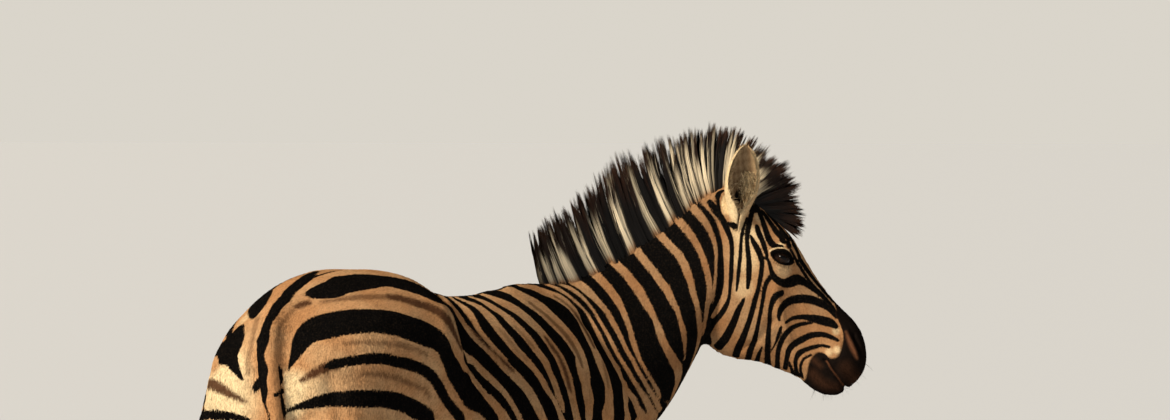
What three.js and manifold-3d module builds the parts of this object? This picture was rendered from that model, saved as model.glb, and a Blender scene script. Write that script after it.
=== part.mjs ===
// Plains zebra, adult, standing with its neck turned to its right. Millimetres, +Z up.
// The body looks along +X, its left side is +Y, and the soles of its hooves lie at z = 0.
import * as THREE from 'three';
import { mergeVertices } from 'three/addons/utils/BufferGeometryUtils.js';
import Module from 'manifold-3d';

const wasm = await Module();
wasm.setup();

// Driving dimensions
const gap = 0.35;              // clearance between two parts that meet
const room = gap * 1.45;       // growth that leaves the clearance at sharp edges too
const neckStart = 330;         // x where the neck leaves the line of the back
const neckRadius = 637;        // radius of the turn of the neck, seen from above
const neckTurn = THREE.MathUtils.degToRad(55);
const poll = { s: 942, z: 1484 };                 // near the top of the skull; the head is measured from it
const headTilt = THREE.MathUtils.degToRad(54.5);  // nose line below the horizontal
const eyeRadius = 21;
const eyePlace = { a: 168, b: -3, side: 75 };
const earLength = 176;
const earWall = 3.5;
const foreStance = 112;        // from the middle plane to the middle of a fore hoof
const hindStance = 118;
const kneeHeight = 430;
const hockHeight = 505;

const colours = {
  coat: '#b98a5c', mane: '#3a2a20', tuft: '#241b17', ear: '#8d7560', eye: '#1a0f0a', hoof: '#3b352f',
};

// --- helpers -----------------------------------------------------------------------------------

// A smooth value between key stations: a cubic through the four nearest ones
function cubic(p0, p1, p2, p3, t) {
  const v0 = (p2 - p0) / 2;
  const v1 = (p3 - p1) / 2;
  return (2 * p1 - 2 * p2 + v0 + v1) * t ** 3 + (3 * p2 - 3 * p1 - 2 * v0 - v1) * t ** 2 + v0 * t + p1;
}

// Fills a table of key stations with steps rings for each interval
function fill(stations, steps) {
  const last = stations.length - 1;
  const at = (i) => stations[Math.min(Math.max(i, 0), last)];
  const rings = [];
  for (let i = 0; i < last; i += 1) {
    for (let k = 0; k < steps; k += 1) {
      rings.push(at(i).map((_, c) => cubic(at(i - 1)[c], at(i)[c], at(i + 1)[c], at(i + 2)[c], k / steps)));
    }
  }
  rings.push(at(last));
  return rings;
}

// Closes a stack of rings, each an array of points in the same order, into one body
function skinOver(rings) {
  const count = rings[0].length;
  const middle = (ring) => ring.reduce((sum, p) => sum.add(p), new THREE.Vector3()).divideScalar(count);
  const points = [...rings.flat(), middle(rings[0]), middle(rings.at(-1))];
  const first = points.length - 2;
  const faces = [];
  rings.forEach((ring, r) => {
    for (let i = 0; i < count; i += 1) {
      const j = (i + 1) % count;
      const here = r * count;
      if (r < rings.length - 1) {
        faces.push(here + i, here + j, here + count + j, here + i, here + count + j, here + count + i);
      }
      if (r === 0) faces.push(first, here + j, here + i);
      if (r === rings.length - 1) faces.push(first + 1, here + i, here + j);
    }
  });
  const geometry = new THREE.BufferGeometry().setFromPoints(points);
  geometry.setIndex(faces);
  return outward(geometry);
}

// Turns every face over when the body is inside out
function outward(geometry) {
  const p = geometry.attributes.position;
  const index = geometry.index.array;
  const [a, b, c] = [new THREE.Vector3(), new THREE.Vector3(), new THREE.Vector3()];
  let volume = 0;
  for (let i = 0; i < index.length; i += 3) {
    a.fromBufferAttribute(p, index[i]);
    b.fromBufferAttribute(p, index[i + 1]);
    c.fromBufferAttribute(p, index[i + 2]);
    volume += a.dot(b.cross(c));
  }
  if (volume < 0) {
    for (let i = 0; i < index.length; i += 3) [index[i], index[i + 1]] = [index[i + 1], index[i]];
  }
  return geometry;
}

// A rounded section: half widths across, at set shares of the way from its top to its bottom
function section(top, bottom, widths, shares, sides) {
  const down = new THREE.Vector3().subVectors(bottom, top);
  const right = shares.map((share, i) => top.clone().addScaledVector(down, share).setY(widths[i]));
  const left = right.map((p) => p.clone().setY(-p.y)).reverse();
  const loop = new THREE.CatmullRomCurve3([top, ...right, bottom, ...left], true, 'centripetal');
  return loop.getSpacedPoints(sides).slice(0, sides);
}

// A flat oval in a level plane, a little squarer than an ellipse
function levelOval([z, x, y, halfLength, halfWidth], sides, power = 2.3) {
  return Array.from({ length: sides }, (_, i) => {
    const angle = (i / sides) * 2 * Math.PI;
    const [c, s] = [Math.cos(angle), Math.sin(angle)];
    return new THREE.Vector3(
      x + halfLength * Math.sign(c) * Math.abs(c) ** (2 / power),
      y + halfWidth * Math.sign(s) * Math.abs(s) ** (2 / power),
      z,
    );
  });
}

// The neck and head are modelled straight, as (s along, y across, z up), and turned here in plan
function turned(point) {
  const angle = THREE.MathUtils.clamp((point.x - neckStart) / neckRadius, 0, neckTurn);
  const along = point.x - neckStart - angle * neckRadius;
  const reach = neckRadius + point.y;
  return new THREE.Vector3(
    neckStart + reach * Math.sin(angle) + along * Math.cos(angle),
    reach * Math.cos(angle) - neckRadius - along * Math.sin(angle),
    point.z,
  );
}

// A point of the head, from the poll: a along the face, b up from it, y to the side
const faceWay = new THREE.Vector3(Math.cos(headTilt), 0, -Math.sin(headTilt));
const browWay = new THREE.Vector3(Math.sin(headTilt), 0, Math.cos(headTilt));
function onHead(a, b, y = 0) {
  return new THREE.Vector3(poll.s, y, poll.z).addScaledVector(faceWay, a).addScaledVector(browWay, b);
}

// Moves the surface out by a distance. A corner's way out is weighed by the angles of its faces.
function grown(geometry, distance) {
  const copy = geometry.clone();
  const p = copy.attributes.position;
  const index = copy.index.array;
  const ways = Array.from({ length: p.count }, () => new THREE.Vector3());
  const at = (i) => new THREE.Vector3().fromBufferAttribute(p, i);
  for (let f = 0; f < index.length; f += 3) {
    const corners = [index[f], index[f + 1], index[f + 2]];
    const face = new THREE.Triangle(...corners.map(at)).getNormal(new THREE.Vector3());
    corners.forEach((corner, k) => {
      const one = at(corners[(k + 1) % 3]).sub(at(corner));
      const other = at(corners[(k + 2) % 3]).sub(at(corner));
      ways[corner].addScaledVector(face, one.angleTo(other));
    });
  }
  ways.forEach((way, i) => p.setXYZ(i, ...at(i).addScaledVector(way.normalize(), distance)));
  return copy;
}

function solid(geometry) {
  const bare = geometry.clone();
  bare.deleteAttribute('normal');
  bare.deleteAttribute('uv');
  const merged = mergeVertices(bare, 1e-3);
  return new wasm.Manifold(new wasm.Mesh({
    numProp: 3,
    vertProperties: new Float32Array(merged.attributes.position.array),
    triVerts: new Uint32Array(merged.index.array),
  }));
}

// The largest piece that a cut leaves, as a geometry
function geometryOf(body) {
  const pieces = body.decompose().sort((one, other) => other.volume() - one.volume());
  const { vertProperties, triVerts, numProp } = pieces[0].getMesh();
  const position = new Float32Array((vertProperties.length / numProp) * 3);
  for (let i = 0; i < position.length / 3; i += 1) {
    position.set(vertProperties.subarray(i * numProp, i * numProp + 3), i * 3);
  }
  const geometry = new THREE.BufferGeometry();
  geometry.setAttribute('position', new THREE.BufferAttribute(position, 3));
  geometry.setIndex([...triVerts]);
  return geometry;
}

const mirrored = (rings) => rings.map((ring) => ring.map((p) => p.clone().setY(-p.y)));

// --- trunk -------------------------------------------------------------------------------------

// x, top, bottom, then half widths at the shares below, from the rump to the breast
const trunkShares = [0.07, 0.24, 0.5, 0.78, 0.94];
const trunkStations = [
  [-670, 1126, 1012, 24, 56, 72, 54, 24],
  [-660, 1158, 968, 44, 96, 114, 82, 38],
  [-633, 1206, 912, 62, 134, 156, 116, 56],
  [-590, 1256, 866, 80, 166, 188, 146, 72],
  [-527, 1303, 832, 100, 196, 214, 170, 86],
  [-455, 1336, 806, 124, 218, 231, 187, 95],
  [-375, 1348, 782, 148, 234, 241, 195, 98],
  [-300, 1346, 756, 166, 242, 249, 198, 100],
  [-238, 1341, 732, 168, 244, 253, 201, 102],
  [-192, 1331, 716, 128, 216, 245, 205, 106],
  [-146, 1318, 702, 94, 178, 238, 212, 112],
  [-65, 1296, 680, 87, 177, 257, 233, 124],
  [40, 1276, 665, 90, 190, 273, 242, 130],
  [130, 1276, 663, 86, 184, 270, 237, 126],
  [215, 1286, 669, 74, 166, 252, 221, 117],
  [300, 1298, 682, 54, 145, 232, 210, 107],
  [375, 1298, 698, 48, 136, 220, 204, 103],
  [440, 1282, 715, 52, 140, 211, 198, 99],
  [505, 1244, 740, 62, 142, 198, 183, 91],
  [560, 1184, 775, 70, 140, 180, 158, 81],
  [603, 1104, 818, 64, 122, 152, 128, 66],
  [630, 1022, 868, 42, 84, 104, 86, 44],
];

const trunkRings = fill(trunkStations, 1).map(([x, top, bottom, ...widths]) => section(
  new THREE.Vector3(x, 0, top), new THREE.Vector3(x, 0, bottom), widths, trunkShares, 28));
const trunkShape = skinOver(trunkRings);

// --- neck --------------------------------------------------------------------------------------

// s and z of the crest, s and z of the throat line, half widths from the crest down
const neckShares = [0.05, 0.2, 0.45, 0.72, 0.93];
const neckStations = [
  [262, 1282, 530, 780, 34, 80, 140, 150, 70],
  [400, 1296, 640, 866, 26, 66, 122, 142, 66],
  [500, 1309, 706, 918, 22, 56, 103, 122, 58],
  [600, 1343, 752, 966, 20, 52, 92, 106, 52],
  [692, 1393, 788, 1020, 20, 50, 85, 94, 48],
  [784, 1452, 818, 1074, 20, 50, 81, 86, 46],
  [862, 1510, 850, 1130, 24, 56, 80, 80, 42],
  [925, 1530, 890, 1185, 26, 56, 74, 72, 38],
];

const neckRings = fill(neckStations, 2).map(([s, z, throatS, throatZ, ...widths]) => section(
  new THREE.Vector3(s, 0, z), new THREE.Vector3(throatS, 0, throatZ), widths, neckShares, 24).map(turned));
const neckShape = skinOver(neckRings);

// --- head --------------------------------------------------------------------------------------

// a, then b of the brow and nose line, b of the jaw line, half widths from the brow down
const headShares = [0.05, 0.17, 0.36, 0.62, 0.86];
const headStations = [
  [-45, 10, -190, 24, 44, 60, 62, 44],
  [12, 25, -232, 31, 58, 72, 71, 46],
  [75, 40, -263, 37, 68, 83, 77, 46],
  [132, 49, -277, 41, 84, 92, 79, 46],
  [170, 48, -279, 42, 91, 95, 80, 46],
  [210, 45, -277, 36, 78, 92, 80, 46],
  [255, 42, -267, 30, 59, 83, 76, 44],
  [300, 42, -240, 27, 49, 68, 67, 39],
  [345, 46, -193, 26, 43, 56, 56, 35],
  [390, 54, -163, 26, 42, 53, 52, 34],
  [430, 52, -137, 28, 46, 58, 55, 35],
  [465, 39, -126, 26, 45, 57, 55, 36],
  [490, 23, -114, 22, 38, 48, 47, 32],
  [508, 1, -97, 16, 28, 35, 34, 24],
  [518, -26, -78, 8, 14, 18, 18, 12],
];

const headRings = fill(headStations, 2).map(([a, brow, jaw, ...widths]) => section(
  onHead(a, brow), onHead(a, jaw), widths, headShares, 24).map(turned));
const headShape = skinOver(headRings);

// --- legs --------------------------------------------------------------------------------------

// z, x, then how far out from the hoof's line, half length, half width, down to the coronet
const foreStations = [
  [1010, 478, 0, 96, 56],
  [920, 462, 10, 122, 62],
  [850, 440, 14, 122, 62],
  [780, 420, 12, 102, 56],
  [710, 410, 8, 80, 48],
  [630, 408, 4, 61, 40],
  [550, 410, 2, 48, 34],
  [485, 413, 1, 42, 33],
  [435, 417, 1, 43, 37],
  [390, 414, 0, 36, 32],
  [335, 409, 0, 28, 24],
  [265, 407, 0, 26, 22],
  [213, 405, 0, 30, 26],
  [182, 403, 0, 36, 31],
  [150, 411, 0, 32, 28],
  [115, 425, 0, 30, 27],
  [80, 438, 0, 40, 38],
];

const hindStations = [
  [1190, -425, -12, 110, 74],
  [1100, -452, 12, 160, 97],
  [1010, -462, 21, 181, 100],
  [920, -458, 23, 184, 95],
  [845, -456, 21, 168, 85],
  [780, -468, 18, 140, 72],
  [720, -494, 13, 108, 58],
  [660, -528, 7, 82, 46],
  [612, -560, 3, 68, 38],
  [577, -588, 1, 65, 33],
  [548, -605, 0, 62, 33],
  [512, -613, 0, 54, 35],
  [472, -617, 0, 45, 34],
  [432, -620, 0, 36, 29],
  [388, -622, 0, 30, 24],
  [310, -623, 0, 27, 22],
  [240, -623, 0, 30, 26],
  [204, -619, 0, 37, 31],
  [170, -608, 0, 33, 28],
  [125, -591, 0, 30, 27],
  [82, -576, 0, 40, 38],
];

const legShape = (stations, stance) => stations.map(([z, x, out, ...halves]) => (
  levelOval([z, x, stance + out, ...halves], 14)));

// A hoof: a flat sole at z = 0, a sloping toe and an upright heel, open to the leg above
function hoofShape(coronetX, stance, coronetHeight, length, width) {
  const levels = [
    [0, coronetX + 22, stance, length / 2, width / 2],
    [9, coronetX + 21, stance, length / 2 + 1, width / 2 + 1],
    [coronetHeight * 0.55, coronetX + 10, stance, length / 2 - 5, width / 2 - 2],
    [coronetHeight - gap, coronetX + 1, stance, length / 2 - 12, width / 2 - 4],
  ];
  return levels.map((level) => levelOval(level, 14, 2.2));
}

// --- ears and eyes -----------------------------------------------------------------------------

// An ear is a leaf that stands on the poll, hollow on the side it listens to
const earStations = [
  [0, 0.48, 0.75],
  [0.14, 0.62, 0.9],
  [0.3, 0.86, 1],
  [0.48, 1, 1],
  [0.66, 0.93, 0.86],
  [0.82, 0.68, 0.6],
  [0.93, 0.38, 0.34],
  [1, 0.1, 0.1],
];
const earBase = new THREE.Vector3(928, -64, 1440);
const earTip = new THREE.Vector3(951, -92, 1612);
const earOpens = new THREE.Vector3(0.28, -1, 0.05).normalize();
const earHalfWidth = 44;
const earHalfDepth = 27;

function earRings(shrink, shift) {
  const up = new THREE.Vector3().subVectors(earTip, earBase).normalize();
  const open = earOpens.clone().addScaledVector(up, -earOpens.dot(up)).normalize();
  const across = new THREE.Vector3().crossVectors(up, open);
  return fill(earStations, 1).map(([share, wide, deep]) => {
    const centre = earBase.clone().addScaledVector(up, share * earLength + shift * 0.35)
      .addScaledVector(open, shift);
    return Array.from({ length: 12 }, (_, i) => {
      const angle = (i / 12) * 2 * Math.PI;
      const width = Math.max(earHalfWidth * wide - shrink, 0.4);
      const depth = Math.max(earHalfDepth * deep - shrink, 0.4);
      return centre.clone().addScaledVector(across, width * Math.cos(angle))
        .addScaledVector(open, depth * Math.sin(angle));
    });
  });
}

const eyeShape = (radius) => new THREE.SphereGeometry(radius, 12, 8);

// --- mane, forelock and tail -------------------------------------------------------------------

// s and z of the roots, s and z of the tips, half thickness at the roots and at the tips
const maneStations = [
  [398, 1284, 394, 1320, 10, 4],
  [427, 1288, 374, 1398, 16, 4],
  [500, 1296, 456, 1457, 22, 4],
  [580, 1322, 545, 1526, 24, 4],
  [650, 1354, 619, 1577, 24, 4],
  [715, 1392, 681, 1609, 24, 4],
  [780, 1434, 760, 1631, 24, 4],
  [830, 1472, 822, 1647, 24, 4],
  [872, 1502, 868, 1655, 24, 4],
  [905, 1512, 929, 1645, 24, 4],
  [926, 1512, 984, 1625, 22, 4],
];
const forelockStations = [
  [926, 1512, 986, 1624, 22, 4],
  [942, 1502, 1030, 1588, 22, 4],
  [960, 1486, 1066, 1540, 22, 4],
  [980, 1468, 1086, 1478, 20, 4],
  [1002, 1446, 1092, 1424, 18, 4],
  [1022, 1424, 1079, 1394, 12, 4],
];

// A fin of hair between its roots and its tips
function finRings(stations, steps) {
  return fill(stations, steps).map(([rootS, rootZ, tipS, tipZ, root, tip]) => {
    const [foot, end] = [new THREE.Vector3(rootS, 0, rootZ), new THREE.Vector3(tipS, 0, tipZ)];
    const sides = [[0, root], [0.5, root * 0.7], [1, tip]];
    const half = sides.map(([share, y]) => new THREE.Vector3().lerpVectors(foot, end, share).setY(y));
    return [...half, ...half.map((p) => p.clone().setY(-p.y)).reverse()].map(turned);
  });
}

// x, y, z, half thickness along and across, from the croup down
const dockStations = [
  [-545, 0, 1272, 28, 32],
  [-612, -16, 1232, 29, 32],
  [-660, -44, 1170, 28, 30],
  [-686, -72, 1095, 26, 27],
  [-698, -95, 1015, 23, 22],
  [-702, -107, 940, 21, 20],
  [-702, -112, 870, 18, 19],
];
const tuftStations = [
  [-702, -112, 868, 18, 20],
  [-702, -113, 830, 24, 27],
  [-702, -114, 760, 31, 36],
  [-702, -115, 670, 35, 41],
  [-700, -116, 580, 31, 36],
  [-698, -116, 500, 21, 25],
  [-696, -116, 440, 8, 9],
];

// Rounds set square to the path that a tail hangs along
function hangingRings(stations, steps, sides) {
  const rows = fill(stations, steps);
  return rows.map(([x, y, z, deep, wide], i) => {
    const before = rows[Math.max(i - 1, 0)];
    const after = rows[Math.min(i + 1, rows.length - 1)];
    const way = new THREE.Vector3(...after).sub(new THREE.Vector3(...before)).normalize();
    const across = new THREE.Vector3(0, 1, 0).addScaledVector(way, -way.y).normalize();
    const back = new THREE.Vector3().crossVectors(way, across);
    return Array.from({ length: sides }, (_, k) => {
      const angle = (k / sides) * 2 * Math.PI;
      return new THREE.Vector3(x, y, z).addScaledVector(across, wide * Math.cos(angle))
        .addScaledVector(back, deep * Math.sin(angle));
    });
  });
}

// --- assembly ----------------------------------------------------------------------------------

const zebra = new THREE.Group();

function add(name, geometry, colour, roughness = 0.85) {
  const material = new THREE.MeshStandardMaterial({ color: colour, roughness, metalness: 0 });
  const mesh = new THREE.Mesh(geometry, material);
  mesh.name = name;
  zebra.add(mesh);
}

const trunkSolid = solid(trunkShape);
const trunkRoom = solid(grown(trunkShape, room));
add('trunk', geometryOf(trunkSolid), colours.coat);

// The head parts from the neck along a plane from behind the ears to the throat
const throatCut = [new THREE.Vector3(850, 0, 1118), new THREE.Vector3(893, 0, 1545)].map(turned);
const cutUp = new THREE.Vector3().subVectors(throatCut[1], throatCut[0]).normalize();
const cutAngle = (872 - neckStart) / neckRadius;
const cutAcross = new THREE.Vector3(Math.sin(cutAngle), Math.cos(cutAngle), 0);
const cutWay = new THREE.Vector3().crossVectors(cutAcross, cutUp).normalize();
if (cutWay.x < 0) cutWay.negate();
const cutPlace = throatCut[0].dot(cutWay);
const cutNormal = cutWay.toArray();
const backNormal = cutWay.clone().negate().toArray();

const neckAndHead = solid(neckShape).add(solid(headShape));
const eyes = {};
const sockets = [];
for (const [side, sign] of [['left', 1], ['right', -1]]) {
  const centre = turned(onHead(eyePlace.a, eyePlace.b, sign * eyePlace.side));
  eyes[side] = eyeShape(eyeRadius).translate(...centre);
  sockets.push(solid(eyeShape(eyeRadius + gap).translate(...centre)));
}

const ears = {};
const earRooms = [];
for (const [side, flip] of [['right', (rings) => rings], ['left', mirrored]]) {
  const place = (rings) => skinOver(flip(rings).map((ring) => ring.map(turned)));
  const leaf = place(earRings(0, 0));
  const hollow = place(earRings(earWall, 15));
  ears[side] = solid(leaf).subtract(solid(hollow));
  earRooms.push(solid(grown(leaf, room)));
}

const headWhole = neckAndHead.trimByPlane(cutNormal, cutPlace + gap / 2);
const headSolid = sockets.reduce((body, socket) => body.subtract(socket), headWhole);
const neckSolid = neckAndHead.trimByPlane(backNormal, -(cutPlace - gap / 2)).subtract(trunkRoom);
add('neck', geometryOf(neckSolid), colours.coat);
add('head', geometryOf(headSolid), colours.coat);
for (const side of ['left', 'right']) add(`eye_${side}`, eyes[side], colours.eye, 0.1);

const fleshRoom = solid(grown(neckShape, room)).add(solid(grown(headShape, room)));
for (const side of ['left', 'right']) {
  add(`ear_${side}`, geometryOf(ears[side].subtract(fleshRoom)), colours.ear);
}

const maneRoom = earRooms.reduce((body, room) => body.add(room), fleshRoom).add(trunkRoom);
add('mane', geometryOf(solid(skinOver(finRings(maneStations, 2))).subtract(maneRoom)), colours.mane);
const maneEnd = solid(grown(skinOver(finRings(maneStations, 2)), room));
add('forelock', geometryOf(solid(skinOver(finRings(forelockStations, 2))).subtract(maneRoom)
  .subtract(maneEnd)), colours.mane);

// Legs: each is parted level at the knee or hock, and stands on its own hoof
const legRooms = [];
const legs = {
  front: {
    name: 'foreleg', stations: foreStations, stance: foreStance, split: kneeHeight, hoof: [104, 86],
  },
  hind: {
    name: 'hindleg', stations: hindStations, stance: hindStance, split: hockHeight, hoof: [102, 80],
  },
};
for (const [end, leg] of Object.entries(legs)) {
  const foot = leg.stations.at(-1);
  for (const [side, flip] of [['left', (rings) => rings], ['right', mirrored]]) {
    const shape = skinOver(flip(legShape(leg.stations, leg.stance)));
    const whole = solid(shape).subtract(trunkRoom);
    legRooms.push(solid(grown(shape, room)));
    const upper = whole.trimByPlane([0, 0, 1], leg.split + gap / 2);
    const lower = whole.trimByPlane([0, 0, -1], -(leg.split - gap / 2));
    add(`${leg.name}_${side}_upper`, geometryOf(upper), colours.coat);
    add(`${leg.name}_${side}_lower`, geometryOf(lower), colours.coat);
    const hoof = skinOver(flip(hoofShape(foot[1], leg.stance, foot[0], ...leg.hoof)));
    add(`hoof_${end}_${side}`, hoof, colours.hoof, 0.5);
  }
}

const tailRoom = legRooms.reduce((body, room) => body.add(room), trunkRoom);
const dock = skinOver(hangingRings(dockStations, 2, 10));
add('tail_dock', geometryOf(solid(dock).subtract(tailRoom)), colours.coat);
const tuft = skinOver(hangingRings(tuftStations, 1, 10));
add('tail_tuft', geometryOf(solid(tuft).subtract(tailRoom).subtract(solid(grown(dock, room)))), colours.tuft);

// The origin is the middle of the ground that the animal's box covers
const box = new THREE.Box3().setFromObject(zebra);
const middle = box.getCenter(new THREE.Vector3());
zebra.position.set(-middle.x, -middle.y, -box.min.z);

export default zebra;
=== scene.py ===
import math

import bpy
import numpy as np
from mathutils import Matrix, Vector
from mathutils.bvhtree import BVHTree


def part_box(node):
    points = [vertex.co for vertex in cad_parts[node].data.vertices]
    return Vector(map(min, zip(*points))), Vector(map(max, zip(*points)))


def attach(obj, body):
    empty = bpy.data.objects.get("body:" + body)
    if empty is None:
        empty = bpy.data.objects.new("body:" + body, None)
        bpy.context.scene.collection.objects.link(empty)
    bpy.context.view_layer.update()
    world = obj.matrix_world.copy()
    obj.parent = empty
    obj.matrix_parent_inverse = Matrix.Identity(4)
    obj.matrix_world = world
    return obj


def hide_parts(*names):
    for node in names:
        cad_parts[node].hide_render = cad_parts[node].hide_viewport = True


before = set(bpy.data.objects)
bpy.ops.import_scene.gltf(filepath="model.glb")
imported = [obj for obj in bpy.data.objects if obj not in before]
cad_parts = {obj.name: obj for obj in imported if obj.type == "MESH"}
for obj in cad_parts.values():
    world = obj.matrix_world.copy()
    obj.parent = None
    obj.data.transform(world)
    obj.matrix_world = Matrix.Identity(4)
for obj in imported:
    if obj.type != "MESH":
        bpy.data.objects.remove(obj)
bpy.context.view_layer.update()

scene = bpy.context.scene


# small helpers

def deselect():
    if bpy.context.mode != "OBJECT":
        bpy.ops.object.mode_set(mode="OBJECT")
    bpy.ops.object.select_all(action="DESELECT")


def pick(piece):
    deselect()
    piece.select_set(True)
    bpy.context.view_layer.objects.active = piece


def applyModifiers(piece):
    pick(piece)
    for modifier in list(piece.modifiers):
        bpy.ops.object.modifier_apply(modifier=modifier.name)


def editAll(piece, step, **settings):  # one step of edit mode on the whole piece
    pick(piece)
    bpy.ops.object.mode_set(mode="EDIT")
    bpy.ops.mesh.select_all(action="SELECT")
    step(**settings)
    bpy.ops.object.mode_set(mode="OBJECT")


def readAll(items, name, width, kind):
    flat = np.empty(len(items) * width, kind)
    items.foreach_get(name, flat)
    return flat.reshape(-1, width)


def corners(piece):
    return readAll(piece.data.vertices, "co", 3, np.float32).astype(float)


def setCorners(piece, points):
    piece.data.vertices.foreach_set("co", np.asarray(points, np.float32).ravel())
    piece.data.update()


def cornerNormals(piece):
    return readAll(piece.data.vertex_normals, "vector", 3, np.float32).astype(float)


def faceCorners(piece):  # the corner numbers of a mesh made of triangles
    piece.data.calc_loop_triangles()
    return readAll(piece.data.loop_triangles, "vertices", 3, np.int32)


def treeOf(piece):
    faces = [tuple(face.vertices) for face in piece.data.polygons]
    return BVHTree.FromPolygons([tuple(point) for point in corners(piece)], faces)


def store(piece, name, values):
    layer = piece.data.attributes.get(name) or piece.data.attributes.new(name, "FLOAT", "POINT")
    layer.data.foreach_set("value", np.asarray(values, np.float32))


def newObject(name, data):
    made = bpy.data.objects.new(name, data)
    scene.collection.objects.link(made)
    return made


def meshPiece(name, points, faces):
    mesh = bpy.data.meshes.new(name)
    faces = np.asarray(faces, np.int32)
    mesh.vertices.add(len(points))
    mesh.vertices.foreach_set("co", np.asarray(points, np.float32).ravel())
    mesh.loops.add(faces.size)
    mesh.loops.foreach_set("vertex_index", faces.ravel())
    mesh.polygons.add(len(faces))
    mesh.polygons.foreach_set("loop_start", np.arange(len(faces)) * faces.shape[1])
    mesh.polygons.foreach_set("loop_total", np.full(len(faces), faces.shape[1]))
    mesh.update(calc_edges=True)
    return newObject(name, mesh)


def unit(vectors):
    return vectors / np.maximum(np.linalg.norm(vectors, axis=-1, keepdims=True), 1e-9)


def laidAlong(ways, normals):  # turned to lie at right angles to the normals
    return unit(ways - (ways * normals).sum(1, keepdims=True) * normals)


def ease(low, high, value):  # 0 below low, 1 above high, smooth between
    t = np.clip((value - low) / (high - low), 0, 1)
    return t * t * (3 - 2 * t)


def rowsAt(at, steps, rows):  # the rows of a table, blended between its steps
    return np.stack([np.interp(at, steps, column) for column in rows.T], 1)


def curveThrough(points, steps):  # a smooth line through given points, end to end
    points = np.asarray(points, float)
    ends = np.vstack([2 * points[0] - points[1], points, 2 * points[-1] - points[-2]])
    line = []
    for i in range(len(points) - 1):
        p0, p1, p2, p3 = ends[i:i + 4]
        for t in np.arange(steps) / steps:
            line.append(p1 + 0.5 * t * (p2 - p0 + t * (2 * p0 - 5 * p1 + 4 * p2 - p3
                        + t * (3 * p1 - p0 - 3 * p2 + p3))))
    return np.vstack([line, points[-1:]])


def node(tree, kind, **values):
    made = tree.nodes.new("ShaderNode" + kind)
    for name, value in values.items():
        setattr(made, name, value)
    return made


def feed(tree, target, sources):  # sets sockets by numbers, by colours or by other nodes' outputs
    for name, source in sources.items():
        socket = target.inputs[name]
        if hasattr(source, "is_linked"):
            tree.links.new(source, socket)
        else:
            socket.default_value = (*source, 1) if socket.type == "RGBA" else source


def newMaterial(name, roughness, specular):
    material = bpy.data.materials.new(name)
    material.use_nodes = True
    tree = material.node_tree
    shader = tree.nodes["Principled BSDF"]
    feed(tree, shader, {"Roughness": roughness, "Specular IOR Level": specular})
    return material, tree, shader


def maths(tree, kind, *sources):
    made = node(tree, "Math", operation=kind)
    feed(tree, made, dict(enumerate(sources)))
    return made.outputs[0]


def rangeOf(tree, value, low, high, kind="SMOOTHSTEP", outLow=0.0, outHigh=1.0):
    made = node(tree, "MapRange", interpolation_type=kind)
    feed(tree, made, {"Value": value, "From Min": low, "From Max": high})
    feed(tree, made, {"To Min": outLow, "To Max": outHigh})
    return made.outputs[0]


def blend(tree, factor, first, second):
    made = node(tree, "Mix", data_type="RGBA")
    feed(tree, made, {"Factor": factor, 6: first, 7: second})   # 6 and 7 are its colours
    return made.outputs[2]


def reading(tree, name):
    return node(tree, "Attribute", attribute_name=name).outputs["Fac"]


def noise(tree, scale, detail, stretch=None):
    coordinates = node(tree, "TexCoord").outputs["Object"]
    if stretch:
        mapping = node(tree, "Mapping")
        feed(tree, mapping, {"Vector": coordinates, "Scale": stretch})
        coordinates = mapping.outputs["Vector"]
    made = node(tree, "TexNoise")
    feed(tree, made, {"Vector": coordinates, "Scale": scale, "Detail": detail})
    return made.outputs["Fac"]


def bumped(tree, shader, height, strength, distance):
    bump = node(tree, "Bump")
    feed(tree, bump, {"Height": height, "Strength": strength, "Distance": distance})
    feed(tree, shader, {"Normal": bump.outputs["Normal"]})


def hairColour(tree, shader, colour, tones, rootTones, rootTo):  # varied, and darker at the roots
    tone = rangeOf(tree, reading(tree, "tone"), 0, 1, "LINEAR", *tones)
    deep = rangeOf(tree, reading(tree, "along"), 0, rootTo, "LINEAR", *rootTones)
    scaled = node(tree, "VectorMath", operation="SCALE")
    feed(tree, scaled, {0: colour, "Scale": maths(tree, "MULTIPLY", tone, deep)})
    feed(tree, shader, {"Base Color": scaled.outputs[0]})


# the animal's own measure
# Plain space: the neck is straight in it, s runs from tail to nose along x, y is left, z is up

build = dict(
    rumpBack=0.670,       # from the middle of the trunk's axes to the buttocks
    neckStart=0.330,
    neckRadius=0.637,
    neckTurn=math.radians(55),
    poll=(0.942, 1.484),
    headTilt=math.radians(54.5),
    eye=(0.168, -0.003, 0.075),
    eyeRadius=0.021,
)
trunkLow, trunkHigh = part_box("trunk")
origin = np.array([trunkLow.x + build["rumpBack"], (trunkLow.y + trunkHigh.y) / 2, 0])
faceWay = np.array([math.cos(build["headTilt"]), -math.sin(build["headTilt"])])
browWay = np.array([math.sin(build["headTilt"]), math.cos(build["headTilt"])])


def toPlain(points):
    x, y, z = (np.atleast_2d(points) - origin).T
    start, radius, turn = build["neckStart"], build["neckRadius"], build["neckTurn"]
    angle = np.clip(np.arctan2(x - start, y + radius), 0, turn)
    angle[x < start] = 0
    alongX, alongY = np.cos(angle), -np.sin(angle)
    outX, outY = np.sin(angle), np.cos(angle)
    footX, footY = start + radius * outX, radius * outY - radius
    s = start + radius * angle + (x - footX) * alongX + (y - footY) * alongY
    return np.stack([s, (x - footX) * outX + (y - footY) * outY, z], 1)


def toWorld(points):
    s, y, z = np.atleast_2d(points).T
    start, radius = build["neckStart"], build["neckRadius"]
    angle = np.clip((s - start) / radius, 0, build["neckTurn"])
    along = s - start - angle * radius
    reach = radius + y
    x = start + reach * np.sin(angle) + along * np.cos(angle)
    side = reach * np.cos(angle) - radius - along * np.sin(angle)
    return np.stack([x, side, z], 1) + origin


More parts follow.
